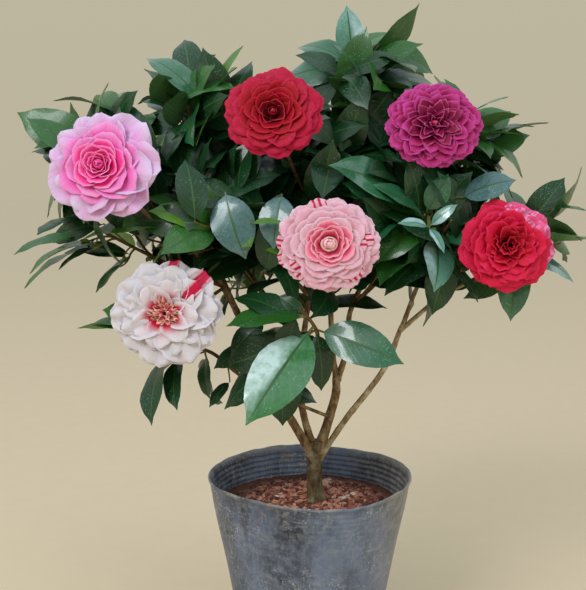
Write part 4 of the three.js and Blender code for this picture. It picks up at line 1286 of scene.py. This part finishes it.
def potPlastic():
    f = Finish("potPlastic", specularIorLevel=0.4)
    x, _, z = f.parts(f.place())
    smears = f.ramp(f.grain(13, 6, 0.7, f.stretch(f.place(), (1.0, 1.0, 0.5))), (0.4, 0), (0.6, 1))
    dust = f.ramp(f.grain(120, 5, 0.75), (0.45, 0), (0.68, 1))
    worn = f.ramp(f.grain(18, 4, 0.6), (0.42, 0), (0.58, 1))
    upright = f.ramp(f.grain(30, 4, 0.75, f.stretch(f.place(), (7.0, 7.0, 1.4))), (0.55, 0), (0.66, 1))
    level = f.ramp(f.grain(40, 4, 0.75, f.stretch(f.place(), (1.4, 1.4, 7.0))), (0.57, 0), (0.66, 1))
    specks = f.ramp(f.grain(420, 3, 0.6), (0.6, 0), (0.68, 1)) * worn
    splash = f.ramp(f.grain(60, 4, 0.7), (0.57, 0), (0.63, 1))
    low = f.ramp(z / 0.19 - x * 2, (0.0, 1), (0.4, 0.08), (0.9, 0.08), (1.0, 0.6))
    rim = f.ramp(z / 0.19 + (f.grain(40) - 0.5) * 0.04, (0.975, 0), (0.995, 1))
    # painted light: the right side of the pot is painted paler, more so where dust lies
    paintedLightRight = f.ramp(x / 0.1 + (f.grain(26, 4) - 0.5) * 0.3, (0.5, 0), (0.95, 1))
    tint = f.mix(smears, colour(42, 48, 62), colour(102, 114, 138))
    tint = f.mix(dust * 0.5, tint, colour(140, 148, 160))
    tint = f.mix((upright * 0.45 + level * 0.45) * worn, tint, colour(186, 188, 192))
    tint = f.mix(paintedLightRight * (0.25 + 0.4 * dust), tint, colour(178, 174, 166))
    tint = f.mix(specks * 0.8, tint, colour(196, 196, 190))
    tint = f.mix(rim * 0.6 * f.ramp(f.grain(50, 4), (0.36, 0), (0.6, 1)), tint, colour(156, 152, 146))
    f.set("baseColor", f.mix(splash * low * 0.7, tint, colour(140, 112, 82)))
    f.set("roughness", 0.3 + 0.25 * smears + 0.2 * dust)
    return f.bump(dust * 0.5 + upright * 0.5 + smears * 0.6 + specks * 0.4, 0.35, 0.0012)


potPiece = Rods()
potPiece.add(potShape())
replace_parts(potPiece.piece("pot_shell", [potPlastic()], "pot_plastic", 50), "pot")
print("pot:", len(potPiece.faces), "faces")


# The soil: crumbs, bark chips and a few pale chips over an uneven bed.

soil = dict(top=158, crown=3, rings=46, sides=120, spread=80, trunkAt=7.4, trunkRoom=12,
            crumbs=dict(count=1700, least=1.2, most=3.4, flat=0.8, finishes=(0, 1, 2)),
            chips=dict(count=240, least=3.0, most=6.5, flat=0.28, finishes=(1, 2, 2)),
            paleSpots=((25, 66, 4, 6), (34, 12, 5, 12), (-30, 10, 3, 8), (52, 20, 3, 14)))


def soilHeight(x, y):  # millimetres
    r = math.hypot(x, y)
    heap = soil["crown"] * (1 - ease(20, 90, r))
    rough = noise.noise(Vector((x / 16, y / 16, 1))) * 1.6 + noise.noise(Vector((x / 5, y / 5, 4))) * 1.3
    return soil["top"] - 0.6 + heap + rough


def soilBed():
    verts, rows = [spot(0, 0, soilHeight(0, 0))], soil["rings"]
    for k in range(1, rows + 1):
        for j in range(soil["sides"]):
            a = 2 * math.pi * j / soil["sides"]
            r = (potRadius(soil["top"]) - pot["wall"] - 0.4 - dentAt(a, soil["top"])) * k / rows
            x, y = r * math.cos(a), r * math.sin(a)
            verts.append(spot(x, y, soilHeight(x, y)))
    n = soil["sides"]
    faces = [(0, 1 + j, 1 + (j + 1) % n) for j in range(n)]
    for k in range(rows - 1):
        faces += [(1 + k * n + j, 1 + (k + 1) * n + j, 1 + (k + 1) * n + (j + 1) % n, 1 + k * n + (j + 1) % n)
                  for j in range(n)]
    last = 1 + (rows - 1) * n
    base = len(verts)
    for j in range(n):
        a = 2 * math.pi * j / n
        r = potRadius(4) - 3
        verts.append(spot(r * math.cos(a), r * math.sin(a), 4))
    faces += [(last + j, base + j, base + (j + 1) % n, last + (j + 1) % n) for j in range(n)]
    faces.append(tuple(base + j for j in range(n))[::-1])
    return verts, faces


golden = (1 + math.sqrt(5)) / 2  # a lump is a roughened solid of twenty faces
lumpCorners = [unit(np.array(p)) for p in [
    (-1, golden, 0), (1, golden, 0), (-1, -golden, 0), (1, -golden, 0), (0, -1, golden), (0, 1, golden),
    (0, -1, -golden), (0, 1, -golden), (golden, 0, -1), (golden, 0, 1), (-golden, 0, -1), (-golden, 0, 1)]]
lumpFaces = [(0, 11, 5), (0, 5, 1), (0, 1, 7), (0, 7, 10), (0, 10, 11), (1, 5, 9), (5, 11, 4), (11, 10, 2),
             (10, 7, 6), (7, 1, 8), (3, 9, 4), (3, 4, 2), (3, 2, 6), (3, 6, 8), (3, 8, 9), (4, 9, 5),
             (2, 4, 11), (6, 2, 10), (8, 6, 7), (9, 8, 1)]


def lump(x, y, size, flat, draw):
    a = next(draw) * 6.28
    turnTo = np.array([[math.cos(a), -math.sin(a), 0], [math.sin(a), math.cos(a), 0], [0, 0, 1]])
    tilt = (next(draw) - 0.5) * 0.9
    tipped = np.array([[1, 0, 0], [0, math.cos(tilt), -math.sin(tilt)], [0, math.sin(tilt), math.cos(tilt)]])
    stretch = np.array([1 + 0.6 * next(draw), 0.7 + 0.5 * next(draw), flat])
    middle = spot(x, y, soilHeight(x, y) + size * flat * 0.3)
    corners = [middle + turnTo @ (tipped @ (p * (0.7 + 0.5 * next(draw)) * stretch * size * mm))
               for p in lumpCorners]
    return corners, lumpFaces


def soilFinish(name, body, dark, rough=0.9):  # lighter in the middle, with painted shade by the wall and towards the left
    f = Finish(name, specularIorLevel=0.2)
    clods = f.grain(300, 4, 0.7)
    x, y, _ = f.parts(f.place())
    away = (x * x + y * y) ** 0.5 + (f.grain(22, 3) - 0.5) * 0.03 - x * 0.12
    paintedShade = f.ramp(away / 0.1, (0.5, 0), (0.86, 1))
    tint = f.mix(f.ramp(clods, (0.35, 0), (0.65, 1)), dark, body)
    f.set("baseColor", f.mix(paintedShade * 0.75, tint, colour(44, 32, 28)))
    f.set("roughness", rough - 0.15 * f.grain(90))
    return f.bump(clods, 0.8, 0.002)


ground = Rods()
ground.add(soilBed(), 0)
draw = drawsFrom(77)
for sort in (soil["crumbs"], soil["chips"]):
    for _ in range(sort["count"]):
        angle, r = next(draw) * 6.28, math.sqrt(next(draw)) * soil["spread"]
        x, y = r * math.cos(angle), r * math.sin(angle)
        if math.hypot(x - soil["trunkAt"], y) > soil["trunkRoom"]:
            size = sort["least"] + (sort["most"] - sort["least"]) * next(draw)**2
            ground.add(lump(x, y, size, sort["flat"], draw), sort["finishes"][int(next(draw) * 2.99)])
for x, y, count, spread in soil["paleSpots"]:  # pale flat chips that lie together
    for _ in range(count):
        ground.add(lump(x + (next(draw) - 0.5) * spread, y + (next(draw) - 0.5) * spread,
                        3 + 3.5 * next(draw), 0.25, draw), 3)
groundPiece = ground.piece("soil_bed", [
    soilFinish("soilCrumb", colour(198, 124, 104), colour(104, 60, 48)),
    soilFinish("soilDark", colour(130, 80, 66), colour(62, 38, 30)),
    soilFinish("soilBark", colour(224, 164, 136), colour(156, 100, 80)),
    soilFinish("paleChip", colour(236, 226, 208), colour(196, 172, 146), 0.8)], "potting_soil", 40)
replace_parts(groundPiece, "soil")
print("soil:", len(ground.faces), "faces")


# Floor, light and camera.

studio = dict(floorSize=80, key=(-1.5, -2.1, 2.3), keyPower=46, keySize=1.2, fill=(1.9, -1.9, 1.2),
              fillPower=13, fillSize=1.4,
              air=((0, 188, 180, 156), (0.22, 190, 183, 160), (0.75, 232, 244, 255), (1, 232, 244, 255)))
view = dict(place=(-17.2, -911.9, 484.4), pitch=83.3, focal=900, frameHeight=590, sensor=36)

floorMesh = bpy.data.meshes.new("floor")
half = studio["floorSize"] / 2
corners = [(-half, -half, 0), (half, -half, 0), (half, half, 0), (-half, half, 0)]
floorMesh.from_pydata(corners, [], [(0, 1, 2, 3)])
floor = bpy.data.objects.new("floor", floorMesh)
bpy.context.scene.collection.objects.link(floor)
paper = Finish("floorPaper", roughness=0.7, specularIorLevel=0.2)
paper.set("baseColor", paper.mix(paper.grain(30), colour(217, 198, 167), colour(212, 193, 162)))
paper.bump(paper.grain(400), 0.05, 0.0005)
floorMesh.materials.append(paper.material)


def softbox(name, place, size, power, tint):
    light = bpy.data.lights.new(name, "AREA")
    light.shape, light.size, light.energy, light.color = "SQUARE", size, power, tint
    lamp = bpy.data.objects.new(name, light)
    lamp.location = place
    lamp.rotation_euler = (Vector((0, 0, 0.4)) - Vector(place)).to_track_quat("-Z", "Y").to_euler()
    bpy.context.scene.collection.objects.link(lamp)


softbox("keyLight", studio["key"], studio["keySize"], studio["keyPower"], (0.95, 0.98, 1))
softbox("fillLight", studio["fill"], studio["fillSize"], studio["fillPower"], (0.9, 0.96, 1))
world = bpy.data.worlds.new("studioAir")
world.use_nodes = True
air = Nodes(world.node_tree)
z = air.parts(air.node("TexCoord", out="Generated"))[2]
stops = [(height, colour(*tint)) for height, *tint in studio["air"]]
air.feed(world.node_tree.nodes["Background"].inputs["Color"], air.node("ValToRGB", {"stops": stops}, {0: z}))
bpy.context.scene.world = world

cameraData = bpy.data.cameras.new("camera")
cameraData.sensor_width = view["sensor"]
cameraData.lens = view["focal"] / view["frameHeight"] * view["sensor"]
camera = bpy.data.objects.new("camera", cameraData)
camera.location = spot(*view["place"])
camera.rotation_euler = (math.radians(view["pitch"]), 0, 0)
bpy.context.scene.collection.objects.link(camera)
bpy.context.scene.camera = camera
bpy.context.scene.view_settings.view_transform = "Standard"
